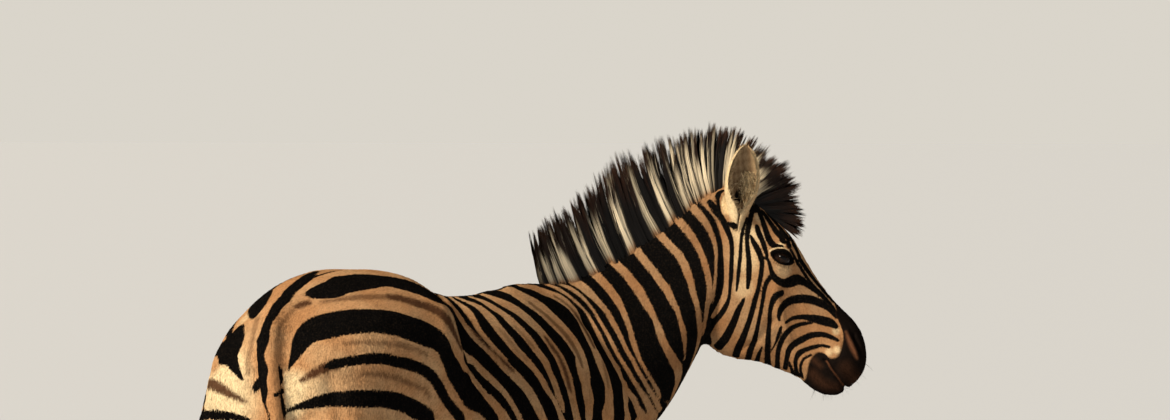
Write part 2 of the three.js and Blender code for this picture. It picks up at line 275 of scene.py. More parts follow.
def turnWay(points, ways, sign=1):  # plain directions at those points to the world's, or back by -1
    s = np.atleast_2d(points)[:, 0]
    angle = sign * np.clip((s - build["neckStart"]) / build["neckRadius"], 0, build["neckTurn"])
    x, y, z = np.atleast_2d(ways).T
    cos, sin = np.cos(angle), np.sin(angle)
    return np.stack([x * cos + y * sin, y * cos - x * sin, z], 1)


def onHead(a, b, y=0.0):
    s = build["poll"][0] + a * faceWay[0] + b * browWay[0]
    return np.array([s, y, build["poll"][1] + a * faceWay[1] + b * browWay[1]])


def headMeasure(plain):  # a along the face, b up from it
    ds, dz = plain[:, 0] - build["poll"][0], plain[:, 2] - build["poll"][1]
    return ds * faceWay[0] + dz * faceWay[1], ds * browWay[0] + dz * browWay[1]


# camera, floor and light

stage = dict(
    heading=math.radians(-55),   # where the camera stands round the animal
    distance=10.1,
    aside=0.338,
    height=1.65,
    lens=136.6,
    sensor=36,
    dip=80 / 4440,               # how far it looks down, per length ahead
    sun=dict(side=46, rise=30, softness=12, power=4.4, colour=(1.0, 0.90, 0.74)),
    rimLight=dict(side=158, rise=22, softness=6, power=0.8, colour=(1.0, 0.76, 0.46)),
    skyLight=0.30,
    skyColour=(0.98, 0.97, 0.93),
    paleFloor=(0.64, 0.667, 0.715),
    paleSky=(0.700, 0.664, 0.595),
)

lookWay = np.array([-math.sin(stage["heading"]), math.cos(stage["heading"]), 0])
rightWay = np.array([math.cos(stage["heading"]), math.sin(stage["heading"]), 0])
eyePoint = origin - lookWay * stage["distance"] + rightWay * stage["aside"] + [0, 0, stage["height"]]

cameraData = bpy.data.cameras.new("camera")
cameraData.lens = stage["lens"]
cameraData.sensor_width = stage["sensor"]
camera = newObject("camera", cameraData)
camera.location = eyePoint
camera.rotation_mode = "QUATERNION"
camera.rotation_quaternion = Vector((*lookWay[:2], -stage["dip"])).to_track_quat("-Z", "Y")
scene.camera = camera
bpy.context.view_layer.update()

deselect()
bpy.ops.mesh.primitive_plane_add(size=900, location=(0, 0, -0.0005))
floor = bpy.context.active_object
floor.name = "floor"
floorMaterial, tree, shader = newMaterial("floor", 0.9, 0.1)
feed(tree, shader, {"Base Color": stage["paleFloor"]})
floor.data.materials.append(floorMaterial)


def sunLight(name, side, rise, softness, power, colour):  # side: degrees round to the camera's left
    data = bpy.data.lights.new(name, "SUN")
    data.energy = power
    data.angle = math.radians(softness)
    data.color = colour
    light = newObject(name, data)
    turn, lift = math.radians(side), math.radians(rise)
    level = -lookWay * math.cos(turn) - rightWay * math.sin(turn)
    way = level * math.cos(lift) + [0, 0, math.sin(lift)]
    light.rotation_euler = Vector(way).to_track_quat("Z", "Y").to_euler()
    light.location = Vector(way) * 8


sunLight("sun", **stage["sun"])
sunLight("rimLight", **stage["rimLight"])

world = bpy.data.worlds.new("world")
world.use_nodes = True
skyTree = world.node_tree
lightSky, shownSky = skyTree.nodes["Background"], node(skyTree, "Background")
feed(skyTree, lightSky, {"Color": stage["skyColour"], "Strength": stage["skyLight"]})
feed(skyTree, shownSky, {"Color": stage["paleSky"]})
seenByCamera = node(skyTree, "LightPath").outputs["Is Camera Ray"]
eitherSky = node(skyTree, "MixShader")
feed(skyTree, eitherSky, {0: seenByCamera, 1: lightSky.outputs[0], 2: shownSky.outputs[0]})
feed(skyTree, skyTree.nodes["World Output"], {"Surface": eitherSky.outputs[0]})
scene.world = world
scene.view_settings.view_transform = "Standard"
print("stage set")


# the skin: one piece from the nodes of flesh

hide = dict(
    bodyVoxel=0.0100,
    smoothing=30,
    coatDepth=0.0034,
    faceCoatDepth=0.0016,
    doubles=0.00004,      # corners closer than this are one
)
fleshNodes = ["trunk", "neck", "head", "tail_dock"]
fleshNodes += [f"{leg}_{side}_{part}" for leg in ("foreleg", "hindleg") for side in ("left", "right")
               for part in ("upper", "lower")]
earNodes = ["ear_left", "ear_right"]
eyeNodes = ["eye_left", "eye_right"]


def joined(pieces):
    pick(pieces[0])
    for piece in pieces:
        piece.select_set(True)
    if len(pieces) > 1:
        bpy.ops.object.join()
    return bpy.context.active_object


def copyOf(names, name):  # one object from copies of these nodes, with their doubles merged
    piece = joined([newObject(name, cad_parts[part].data.copy()) for part in names])
    editAll(piece, bpy.ops.mesh.remove_doubles, threshold=hide["doubles"])
    piece.data.materials.clear()
    return piece


def voxelled(piece, size):
    remesh = piece.modifiers.new("remesh", "REMESH")
    remesh.mode = "VOXEL"
    remesh.voxel_size = size
    applyModifiers(piece)


def relax(piece, rounds, weight=None, keep=True):  # evens out facets, and keeps the volume if asked
    points, edges = corners(piece), readAll(piece.data.edges, "vertices", 2, np.int32)
    one, other = edges.T
    count = len(points)
    degree = np.maximum(np.bincount(edges.ravel(), minlength=count), 1)[:, None]
    weight = np.ones(count) if weight is None else weight
    for step in range(rounds):
        for push in ((0.5, -0.53) if keep else (0.5,)):
            total = np.stack([np.bincount(one, points[other, k], count)
                              + np.bincount(other, points[one, k], count) for k in range(3)], 1)
            points = points + (total / degree - points) * push * weight[:, None]
    setCorners(piece, points)


def refine(piece, chosen):  # halves the edges of the faces whose corners are all chosen
    pick(piece)
    faces = np.array([chosen[list(face.vertices)].all() for face in piece.data.polygons])
    bpy.ops.object.mode_set(mode="EDIT")
    bpy.ops.mesh.select_mode(type="FACE")
    bpy.ops.mesh.select_all(action="DESELECT")
    bpy.ops.object.mode_set(mode="OBJECT")
    piece.data.polygons.foreach_set("select", faces)
    bpy.ops.object.mode_set(mode="EDIT")
    bpy.ops.mesh.subdivide(number_cuts=1, smoothness=0)
    bpy.ops.object.mode_set(mode="OBJECT")


skin = copyOf(fleshNodes + eyeNodes, "skin")
voxelled(skin, hide["bodyVoxel"])
plain = toPlain(corners(skin))
thinBands = (plain[:, 0] > 0.27) & (plain[:, 0] < 0.66) & (plain[:, 2] > 0.90)
refine(skin, thinBands | (headMeasure(plain)[0] > -0.03) & (plain[:, 0] > 0.86))
relax(skin, hide["smoothing"])
plain = toPlain(corners(skin))
heavy = ease(0.60, 0.80, plain[:, 2]) * ease(0.80, 0.74, plain[:, 0]) * ease(-0.64, -0.60, plain[:, 0])
relax(skin, 10, heavy, keep=False)

plain = toPlain(corners(skin))
fine = np.maximum(ease(0.86, 0.90, plain[:, 0]), ease(0.55, 0.45, plain[:, 2]))
depth = hide["coatDepth"] + (hide["faceCoatDepth"] - hide["coatDepth"]) * fine
setCorners(skin, corners(skin) - cornerNormals(skin) * depth[:, None])
print("skin base", len(skin.data.polygons), "faces")


# ears, grown into the skin

ear = dict(
    base=(0.928, -0.064, 1.440),
    tip=(0.951, -0.092, 1.612),
    opens=(0.28, -1, 0.05),
    halfWidth=0.0450,
    halfDepth=0.0265,
    wall=0.0042,
    rings=34,
    sides=16,
    # share of the length, then width and depth against the widest, and half the gap in degrees
    shape=[(-0.16, 0.40, 0.70, 7), (0.00, 0.48, 0.76, 7), (0.10, 0.60, 0.88, 10),
           (0.20, 0.74, 0.97, 30), (0.33, 0.92, 1.00, 58), (0.48, 1.00, 1.00, 70),
           (0.64, 0.94, 0.88, 74), (0.79, 0.76, 0.68, 76), (0.90, 0.54, 0.46, 76),
           (0.965, 0.32, 0.28, 76), (1.00, 0.15, 0.14, 76)],
)
earBase, earTip = np.array(ear["base"]), np.array(ear["tip"])
earLength = np.linalg.norm(earTip - earBase)
earUp = (earTip - earBase) / earLength
earOpen = np.array(ear["opens"]) - np.dot(ear["opens"], earUp) * earUp
earOpen = earOpen / np.linalg.norm(earOpen)
earAcross = np.cross(earUp, earOpen)
earRows = np.array(ear["shape"])


def earSection(row):  # outside from edge to edge, then back along the inside
    share, wide, deep, gap = row
    turns = np.radians(np.linspace(gap - 180, 180 - gap, 2 * ear["sides"] + 1))
    centre = earBase + earUp * share * earLength
    loop = []
    for inset, angles in ((0, turns), (ear["wall"] * min(1, wide * 2.2), turns[::-1])):
        width = max(ear["halfWidth"] * wide - inset, 0.0006)
        deepness = max(ear["halfDepth"] * deep - inset, 0.0006)
        loop += [centre + earAcross * width * math.sin(turn) - earOpen * deepness * math.cos(turn)
                 for turn in angles]
    return loop


def earShell(side):
    rows = curveThrough(ear["shape"], 4)
    rows = rows[np.linspace(0, len(rows) - 1, ear["rings"]).round().astype(int)]
    points = np.array([earSection(row) for row in rows])
    points[:, :, 1] *= side
    around, half = points.shape[1], points.shape[1] // 2
    faces = []
    for low in range(0, (len(rows) - 1) * around, around):
        high = low + around
        faces += [(low + i, low + (i + 1) % around, high + (i + 1) % around, high + i)
                  for i in range(around)]
    for low in (0, (len(rows) - 1) * around):
        high = low + around
        faces += [(low + i, low + i + 1, high - 2 - i, high - 1 - i) for i in range(half - 1)]
    shell = meshPiece("earShell", toWorld(points.reshape(-1, 3)), faces)
    editAll(shell, bpy.ops.mesh.normals_make_consistent, inside=False)
    return shell


def earSize(share):  # half width, half depth and half the gap in degrees
    wide, deep, gap = (np.interp(share, earRows[:, 0], earRows[:, k]) for k in (1, 2, 3))
    return ear["halfWidth"] * wide, ear["halfDepth"] * deep, gap


def earPlace(both):  # share of the right ear's length, and how far out of its axis against the wall
    offset = both - earBase
    share = offset @ earUp / earLength
    width, deep = earSize(share)[:2]
    return share, np.hypot(offset @ earAcross / width, offset @ earOpen / deep)


ears = joined([earShell(1), earShell(-1)])
union = skin.modifiers.new("ears", "BOOLEAN")
union.operation = "UNION"
union.solver = "EXACT"
union.object = ears
applyModifiers(skin)
bpy.data.objects.remove(ears)
both = toPlain(corners(skin))
both[:, 1] = -np.abs(both[:, 1])
share, out = earPlace(both)
nearBase = ease(0.20, 0.10, share) * ease(-0.3, -0.1, share) * ease(2.4, 1.6, out) * (both[:, 0] > 0.85)
relax(skin, 8, nearBase)
print("skin with ears", len(skin.data.polygons), "faces")


# from the camera's view to the skin
# Places set in a view 1170 wide and 420 high, as (across, down) or (across, down, width)

view = dict(width=1170, height=420, focus=stage["lens"] / stage["sensor"] * 1170)

aheadWay = unit(np.array([lookWay[0], lookWay[1], -stage["dip"]]))
upWay = np.cross(rightWay, aheadWay)
skinTree = treeOf(skin)


def hitPlaces(starts, ways, reach):  # where rays meet the skin, in plain space, or nan
    hits = [skinTree.ray_cast(Vector(p), Vector(w), reach)[0] for p, w in zip(starts, ways)]
    hits = np.array([hit if hit else (math.nan,) * 3 for hit in hits])
    return np.where(np.isnan(hits), np.nan, toPlain(np.nan_to_num(hits)))


def seenOn(spots):  # where places of the view land on the skin
    ways = [aheadWay + rightWay * (across - view["width"] / 2) / view["focus"]
            - upWay * (down - view["height"] / 2) / view["focus"] for across, down in spots]
    return hitPlaces([eyePoint] * len(ways), ways, 1e9)


def sideOn(spots):  # where (s, z) places land on the right side
    spots = np.asarray(spots, float)
    outer = np.stack([spots[:, 0], np.full(len(spots), -0.40), spots[:, 1]], 1)
    inward = turnWay(outer, np.tile([0.0, 1.0, 0.0], (len(spots), 1)))
    return hitPlaces(toWorld(outer), inward, 0.6)


def onSkin(places):  # the nearest places of the skin
    return toPlain(np.array([skinTree.find_nearest(Vector(place))[0] for place in toWorld(places)]))


def folded(places):
    return np.stack([places[:, 0], -np.abs(places[:, 1]), places[:, 2]], 1)


def known(line, *others):  # without the places that missed the skin
    good = ~np.isnan(line).any(1)
    return (line[good], *(other[good] for other in others))


def seenLine(seen, slope=2.6):  # the middle of a band on the skin, and its half widths
    drawn = curveThrough(seen, 3)
    spots, width = drawn[:, :2], drawn[:, 2:3]
    run = unit(np.gradient(spots, axis=0))
    across = np.stack([-run[:, 1], run[:, 0]], 1) * width / 2
    middle, one, other = seenOn(spots), seenOn(spots + across), seenOn(spots - across)
    away = np.linalg.norm(toWorld(np.nan_to_num(middle)) - eyePoint, axis=1)
    flat = away / view["focus"] * width[:, 0]
    gaps = one - other, middle - one, middle - other
    full, toOne, toOther = (np.linalg.norm(gap, axis=1) for gap in gaps)
    full = np.where(np.isnan(full), 2 * np.fmin(toOne, toOther), full)
    full = np.where(np.isnan(full), flat, full)
    return known(middle, np.clip(full, flat, slope * flat) / 2)


def bandLine(band):
    line, half = np.zeros((0, 3)), np.zeros(0)
    if "seen" in band:
        line, half = seenLine(band["seen"], band.get("slope", 2.6))
    for way, columns in (("beyond", (0, 2)), ("round", (0, 1, 2))):
        if way in band:
            more = np.array(band[way], float) / 1000
            if len(line):
                more = np.vstack([[*line[-1, columns], half[-1] * 2], more])
            drawn = curveThrough(more, 5)
            land = sideOn if way == "beyond" else onSkin
            extra, extraHalf = known(land(drawn[:, :-1]), drawn[:, -1] / 2)
            line, half = np.vstack([line, extra]), np.concatenate([half, extraHalf])
    return line, half


def depthIn(points, line, half, margin=0.012):  # how deep points lie in a band, below zero outside it
    deep = np.full(len(points), -max(margin, 0.05))
    if len(line) < 2:
        return deep
    reach = half.max() + margin
    at = np.flatnonzero(((points > line.min(0) - reach) & (points < line.max(0) + reach)).all(1))
    if not len(at):
        return deep
    run = np.diff(line, axis=0)
    size = np.maximum((run ** 2).sum(1), 1e-10)
    best, close = np.full(len(at), -max(margin, 0.05)), points[at]
    for i in range(len(run)):
        offset = close - line[i]
        t = np.clip(offset @ run[i] / size[i], 0, 1)
        gap = np.linalg.norm(offset - t[:, None] * run[i], axis=1)
        best = np.maximum(best, half[i] + t * (half[i + 1] - half[i]) - gap)
    deep[at] = best
    return deep


# muscles, folds, lids, nostrils and mouth
# A line is "seen", or "head" as (a, b), or "side" as (s, z), or "mid" as (s, z) on the middle plane,
# or "at" places (s, y, z)

forms = [
    dict(head=[(0.080, 0.002), (0.112, 0.010)], radius=0.020, rise=-0.0060),   # hollow over the eye
    dict(head=[(0.128, 0.033), (0.162, 0.037), (0.200, 0.026)], radius=0.015, rise=0.0055),   # brow
    dict(head=[(0.150, -0.046), (0.205, -0.048)], radius=0.012, rise=-0.0030),
    # cheekbone
    dict(head=[(0.215, -0.056), (0.275, -0.082), (0.335, -0.100)], radius=0.010, rise=0.0050),
    dict(head=[(0.240, -0.030), (0.330, -0.050), (0.395, -0.052)], radius=0.022, rise=-0.0050),
    dict(head=[(0.120, -0.150), (0.190, -0.170)], radius=0.055, rise=0.0060),   # cheek
    dict(head=[(0.278, -0.112), (0.296, -0.160), (0.292, -0.215)], radius=0.011, rise=-0.0050),
    dict(head=[(0.310, -0.130), (0.400, -0.090)], radius=0.018, rise=-0.0030),
    dict(head=[(0.250, 0.020), (0.330, 0.022), (0.400, 0.024)], radius=0.009, rise=0.0020),  # nose bone
    dict(seen=[(716, 224), (723, 250), (724, 278), (718, 305), (708, 330), (704, 346)], radius=0.012,
         rise=-0.0060),   # behind the jaw
    dict(seen=[(436, 290), (443, 299), (448, 307), (452.5, 316), (456, 326), (459, 337), (463, 350),
               (469, 364), (478, 377), (490, 392)], radius=0.0065, rise=-0.0085),   # fold of the flank
    dict(seen=[(430, 300), (438, 308), (443, 320), (446, 333), (450, 346), (456, 360)], radius=0.022,
         rise=0.0060),
    dict(seen=[(462, 305), (470, 322), (476, 340), (486, 360)], radius=0.030, rise=-0.0080),
    dict(side=[(0.500, 1.200), (0.560, 1.080), (0.600, 0.980), (0.590, 0.900)], radius=0.030,
         rise=-0.0090),
    dict(side=[(0.360, 1.060), (0.330, 0.960), (0.310, 0.860)], radius=0.030, rise=-0.0080),
    dict(side=[(0.345, 0.800), (0.360, 0.780)], radius=0.024, rise=0.0060),   # elbow
    dict(side=[(-0.190, 0.790), (-0.150, 0.850), (-0.125, 0.950)], radius=0.030, rise=-0.0110),
    dict(side=[(-0.250, 0.740), (-0.270, 0.780)], radius=0.045, rise=0.0110),   # stifle
    dict(side=[(-0.600, 1.120), (-0.600, 0.960), (-0.585, 0.800), (-0.560, 0.700)], radius=0.016,
         rise=-0.0060),
    dict(side=[(-0.215, 1.250), (-0.235, 1.240)], radius=0.040, rise=0.0070),   # hip bone
    dict(side=[(-0.560, 0.670), (-0.582, 0.600), (-0.600, 0.550)], radius=0.011, rise=-0.0080),
    dict(side=[(-0.634, 0.450), (-0.634, 0.340), (-0.632, 0.240)], radius=0.0055, rise=-0.0035),
    dict(side=[(0.399, 0.370), (0.399, 0.300), (0.392, 0.230)], radius=0.0055, rise=-0.0035),
    dict(side=[(0.425, 0.425), (0.430, 0.405)], radius=0.016, rise=0.0030),   # knee
    dict(side=[(-0.612, 0.560), (-0.625, 0.530)], radius=0.014, rise=0.0030),   # point of the hock
    dict(mid=[(-0.520, 1.330), (-0.300, 1.340)], radius=0.020, rise=-0.0050),
    dict(mid=[(-0.668, 1.120), (-0.662, 1.000), (-0.630, 0.870)], radius=0.026, rise=-0.0150),
]
forms += [dict(side=[(s, 1.080), (s - 0.035, 0.950), (s - 0.075, 0.830)], radius=0.011, rise=0.0014)
          for s in np.arange(0.02, 0.30, 0.042)]  # ribs
faceForms = [
    # nostril's wing
    dict(seen=[(847, 332), (851, 341), (855, 351), (859, 361)], radius=0.0060, rise=0.0035),
    dict(seen=[(854, 336), (858, 344), (861, 352)], radius=0.0055, rise=-0.0110),   # nostril
    dict(seen=[(824, 359.5), (829, 364), (834, 371), (839, 379), (844, 386)], radius=0.0030,
         rise=-0.0060),   # mouth
    dict(at=[(1.184, -0.038, 1.038), (1.192, -0.024, 1.031), (1.196, -0.010, 1.029),
             (1.197, 0.0, 1.029)], radius=0.0050, rise=-0.0085),   # and its front, between the lips
    dict(at=[(1.098, -0.010, 1.047), (1.122, -0.010, 1.030), (1.150, -0.012, 1.020),
             (1.170, -0.014, 1.024)], radius=0.0130, rise=0.0035),   # chin
    dict(at=[(1.150, -0.042, 1.052), (1.164, -0.036, 1.042), (1.174, -0.030, 1.036)], radius=0.0085,
         rise=0.0025),
    dict(seen=[(826, 368), (832, 376), (838, 384)], radius=0.0070, rise=0.0025),
    dict(seen=[(834, 364), (840, 372), (846, 381)], radius=0.0070, rise=0.0020),
    dict(seen=[(812, 370), (818, 377), (826, 384)], radius=0.0055, rise=-0.0016),
    dict(seen=[(838, 330), (842, 339), (842, 350), (838, 358)], radius=0.0045, rise=-0.0018),
    dict(seen=[(774, 274), (783, 277), (792, 275)], radius=0.0032, rise=-0.0014),  # under the eye
    dict(seen=[(771, 279), (782, 283), (795, 280)], radius=0.0035, rise=-0.0010),
]
lids = dict(length=0.0240, above=0.0160, below=0.0125, rim=0.0020, inside=0.0045, crease=1.62,
            darkTo=1.34, paleTo=1.56)
eyeOut = unit(np.array([0.14, -1.0, 0.06]))
eyeLong = unit(np.array([0.93, 0.0, -0.37]) - np.dot([0.93, 0.0, -0.37], eyeOut) * eyeOut)
eyeHigh = np.cross(eyeLong, eyeOut)
eyeHigh = eyeHigh * np.sign(eyeHigh[2])
eyeCentre = onHead(*build["eye"][:2], -build["eye"][2])


def formLine(form):
    if "seen" in form:
        line = seenOn(curveThrough(form["seen"], 4))
    elif "head" in form:
        places = curveThrough(form["head"], 4)
        line = sideOn(np.array([onHead(a, b)[[0, 2]] for a, b in places]))
    elif "side" in form:
        line = sideOn(curveThrough(form["side"], 4))
    elif "at" in form:
        line = onSkin(curveThrough(form["at"], 4))
    else:
        places = curveThrough(form["mid"], 4)
        line = onSkin(np.stack([places[:, 0], 0 * places[:, 0], places[:, 1]], 1))
    return known(line)[0]


def press(piece, shapes):
    points, normals = corners(piece), cornerNormals(piece)
    both = folded(toPlain(points))
    offset = np.zeros(len(points))
    for form in shapes:
        line = formLine(form)
        if len(line) > 1:
            gap = -depthIn(both, folded(line), np.zeros(len(line)), 3 * form["radius"])
            offset += form["rise"] * np.exp(-(gap / form["radius"]) ** 2)
    setCorners(piece, points + normals * offset[:, None])


def eyeSpot(both):  # along and above the middle of the eye, and out of the head; 1 at the lids' edge
    offset = both - eyeCentre
    along, above, out = offset @ eyeLong, offset @ eyeHigh, offset @ eyeOut
    half = np.where(above > 0, lids["above"], lids["below"])
    ring = (np.abs(along / lids["length"]) ** 1.7 + np.abs(above / half) ** 1.7) ** (1 / 1.7)
    return along, above, out, ring


def byEye(along, above, out):
    return eyeCentre + np.outer(along, eyeLong) + np.outer(above, eyeHigh) + np.outer(out, eyeOut)


def shapeLids(piece):
    both = toPlain(corners(piece))
    side = np.where(both[:, 1] > 0, -1, 1)
    both = folded(both)
    along, above, out, ring = eyeSpot(both)
    spread = np.hypot(along, above)
    near = (spread < 0.045) & (out > -0.03)
    ball = build["eyeRadius"]
    inner = np.sqrt(np.maximum((ball - lids["inside"]) ** 2 - spread ** 2, 0.00001))
    lid = np.sqrt(np.maximum((ball + lids["rim"] + 0.0008) ** 2 - spread ** 2, 0))
    rest = np.minimum(out, 0.0115 + 0.4 * np.maximum(above, 0))
    fold = 0.0022 * np.exp(-((ring - lids["crease"]) / 0.16) ** 2) * (above > 0)
    pouch = 0.0012 * np.exp(-((ring - 1.75) / 0.2) ** 2) * (above < 0)
    outer = np.maximum(lid - 0.0012 * np.maximum(ring - 1, 0), rest) - fold - pouch
    target = inner + (outer - inner) * ease(0.95, 1.05, ring)
    blend = ease(0.045, 0.030, spread) * near
    moved = both + eyeOut * ((target - out) * blend)[:, None]
    moved[:, 1] *= side
    setCorners(piece, toWorld(moved))


press(skin, forms)
both = folded(toPlain(corners(skin)))
nearEye = np.linalg.norm(both - eyeCentre - eyeOut * 0.012, axis=1) < 0.044
a, b = headMeasure(both)
nearLips = (a > 0.395) & (b > -0.175) & (both[:, 1] < -0.008) & (both[:, 0] > 0.9)
refine(skin, nearEye | nearLips)
both = folded(toPlain(corners(skin)))
nearEye = ease(0.048, 0.040, np.linalg.norm(both - eyeCentre - eyeOut * 0.012, axis=1))
relax(skin, 6, np.maximum(nearEye, ease(0.40, 0.42, headMeasure(both)[0]) * (both[:, 0] > 0.9)))
skinTree = treeOf(skin)
press(skin, faceForms)
shapeLids(skin)
skinTree = treeOf(skin)
pick(skin)
bpy.ops.object.shade_smooth()
print("skin shaped", len(skin.data.polygons), "faces", len(faceCorners(skin)), "triangles")


# markings
# "seen" places are (across, down, width) in the view; past its edge a band runs on "beyond", as
# (s, z, width) over the right side, or "round", as (s, y, z, width), all in millimetres

darkBands = [  # black on a light ground: hindquarter
    dict(seen=[(345, 267.5, 3), (325, 269, 6), (315, 272, 9), (307, 277, 12), (299, 283.5, 13),
               (291, 290.5, 14), (284, 298.5, 13), (277, 306, 11), (272, 315, 9.5), (267, 324, 9),
               (264, 334, 10.5), (264, 342, 11), (262, 352, 10), (261, 364, 9), (260.5, 374, 9),
               (259, 383, 10), (256, 388, 8), (254, 391, 3)], both=False, slope=1.15),
    dict(seen=[(307, 295, 2), (314, 293, 10), (323, 291, 15), (333, 288.5, 18), (343, 284, 16.5),
               (353, 282, 15), (365, 280.5, 13), (378, 279.5, 11.5), (390, 281, 11.5), (402, 283.5, 12),
               (414, 287, 12), (424, 291, 11), (433, 295.5, 10), (439.5, 299, 8)],
         beyond=[(-205, 1262, 28), (-184, 1240, 27), (-174, 1215, 22), (-177, 1192, 14),
                 (-186, 1176, 4)]),
    dict(seen=[(288.5, 370, 2), (292, 362, 6), (297, 352, 12), (301, 343, 17), (307, 335, 21),
               (316, 329, 24), (327, 326, 26), (340, 323, 25), (355, 321, 24.5), (370, 320.5, 23),
               (385, 321.5, 23), (398, 324, 22.5), (411, 328.5, 22), (423, 332.5, 22), (434, 337.5, 19),
               (442, 345, 16), (445, 352, 14), (449, 361, 14.5), (453.5, 370, 15.5), (459.5, 380, 14.5),
               (468, 390, 13.5), (477, 400, 12.5), (485.5, 410, 12.5), (493, 419, 12)],
         beyond=[(-100, 930, 46), (-84, 860, 36), (-80, 800, 22), (-86, 745, 6)]),
    dict(seen=[(325, 367.5, 3), (332, 365, 9), (345, 362, 10), (358, 360, 10), (372, 358.5, 11.5),
               (385, 359, 11), (397, 362, 11.5), (409, 364.5, 12), (420, 368.5, 11), (429, 374, 11),
               (436, 382, 10), (441, 391, 10), (446, 400, 9), (453, 409, 9), (461, 419, 9.5)],
         beyond=[(-205, 930, 34), (-190, 860, 32), (-196, 800, 20), (-216, 755, 6)]),
    dict(seen=[(284, 412, 3), (295, 408, 5), (306, 405, 9), (318, 402, 12), (332, 399.5, 15),
               (348, 399, 17), (364, 399, 18), (380, 399, 17), (394, 401, 18), (406, 405, 17),
               (417, 411, 18), (428, 418, 17)],
         beyond=[(-305, 930, 40), (-268, 870, 38), (-262, 812, 26), (-285, 762, 8)]),
    dict(round=[(-258, -12, 1326, 6), (-226, -38, 1318, 20), (-190, -70, 1302, 26),
                (-158, -104, 1280, 24), (-130, -136, 1252, 18), (-112, -162, 1226, 8)]),
    dict(beyond=[(-655, 940, 14), (-610, 962, 34), (-545, 972, 44), (-470, 962, 46), (-395, 916, 46),
                 (-340, 856, 40), (-318, 800, 20)]),
    dict(beyond=[(-640, 868, 12), (-600, 886, 30), (-535, 902, 40), (-465, 888, 40), (-405, 842, 36),
                 (-366, 792, 18)]),
    dict(beyond=[(-610, 805, 12), (-580, 822, 28), (-530, 836, 34), (-470, 820, 34), (-422, 780, 28),
                 (-395, 742, 12)]),
]

leftBands = [  # black, on the left buttock past the tail
    dict(seen=[(275, 286, 3), (267, 291, 8), (261, 299, 12), (258, 308, 10), (255, 316, 4)]),
    dict(seen=[(237, 332, 8), (233, 340, 13), (230.5, 348, 16), (231, 357, 13), (235, 367, 9),
               (240.5, 377, 5), (243, 381, 2)]),
    dict(seen=[(231, 344, 14), (223, 347, 9), (217, 350, 5)]),
    dict(seen=[(248, 420, 5), (234, 417, 8), (222, 415.5, 9), (210, 415, 9), (201, 416, 9)]),
    dict(round=[(-430, 87, 1323, 36), (-468, 106, 1300, 28), (-517, 93, 1280, 25)]),
    dict(round=[(-480, 175, 1222, 44), (-525, 152, 1206, 32), (-560, 130, 1192, 24),
                (-588, 108, 1180, 14)]),
    dict(round=[(-530, 196, 1154, 26), (-560, 188, 1156, 17), (-584, 172, 1161, 8)]),
    dict(round=[(-560, 208, 1068, 34), (-600, 190, 1050, 26), (-627, 172, 1028, 20)]),
]

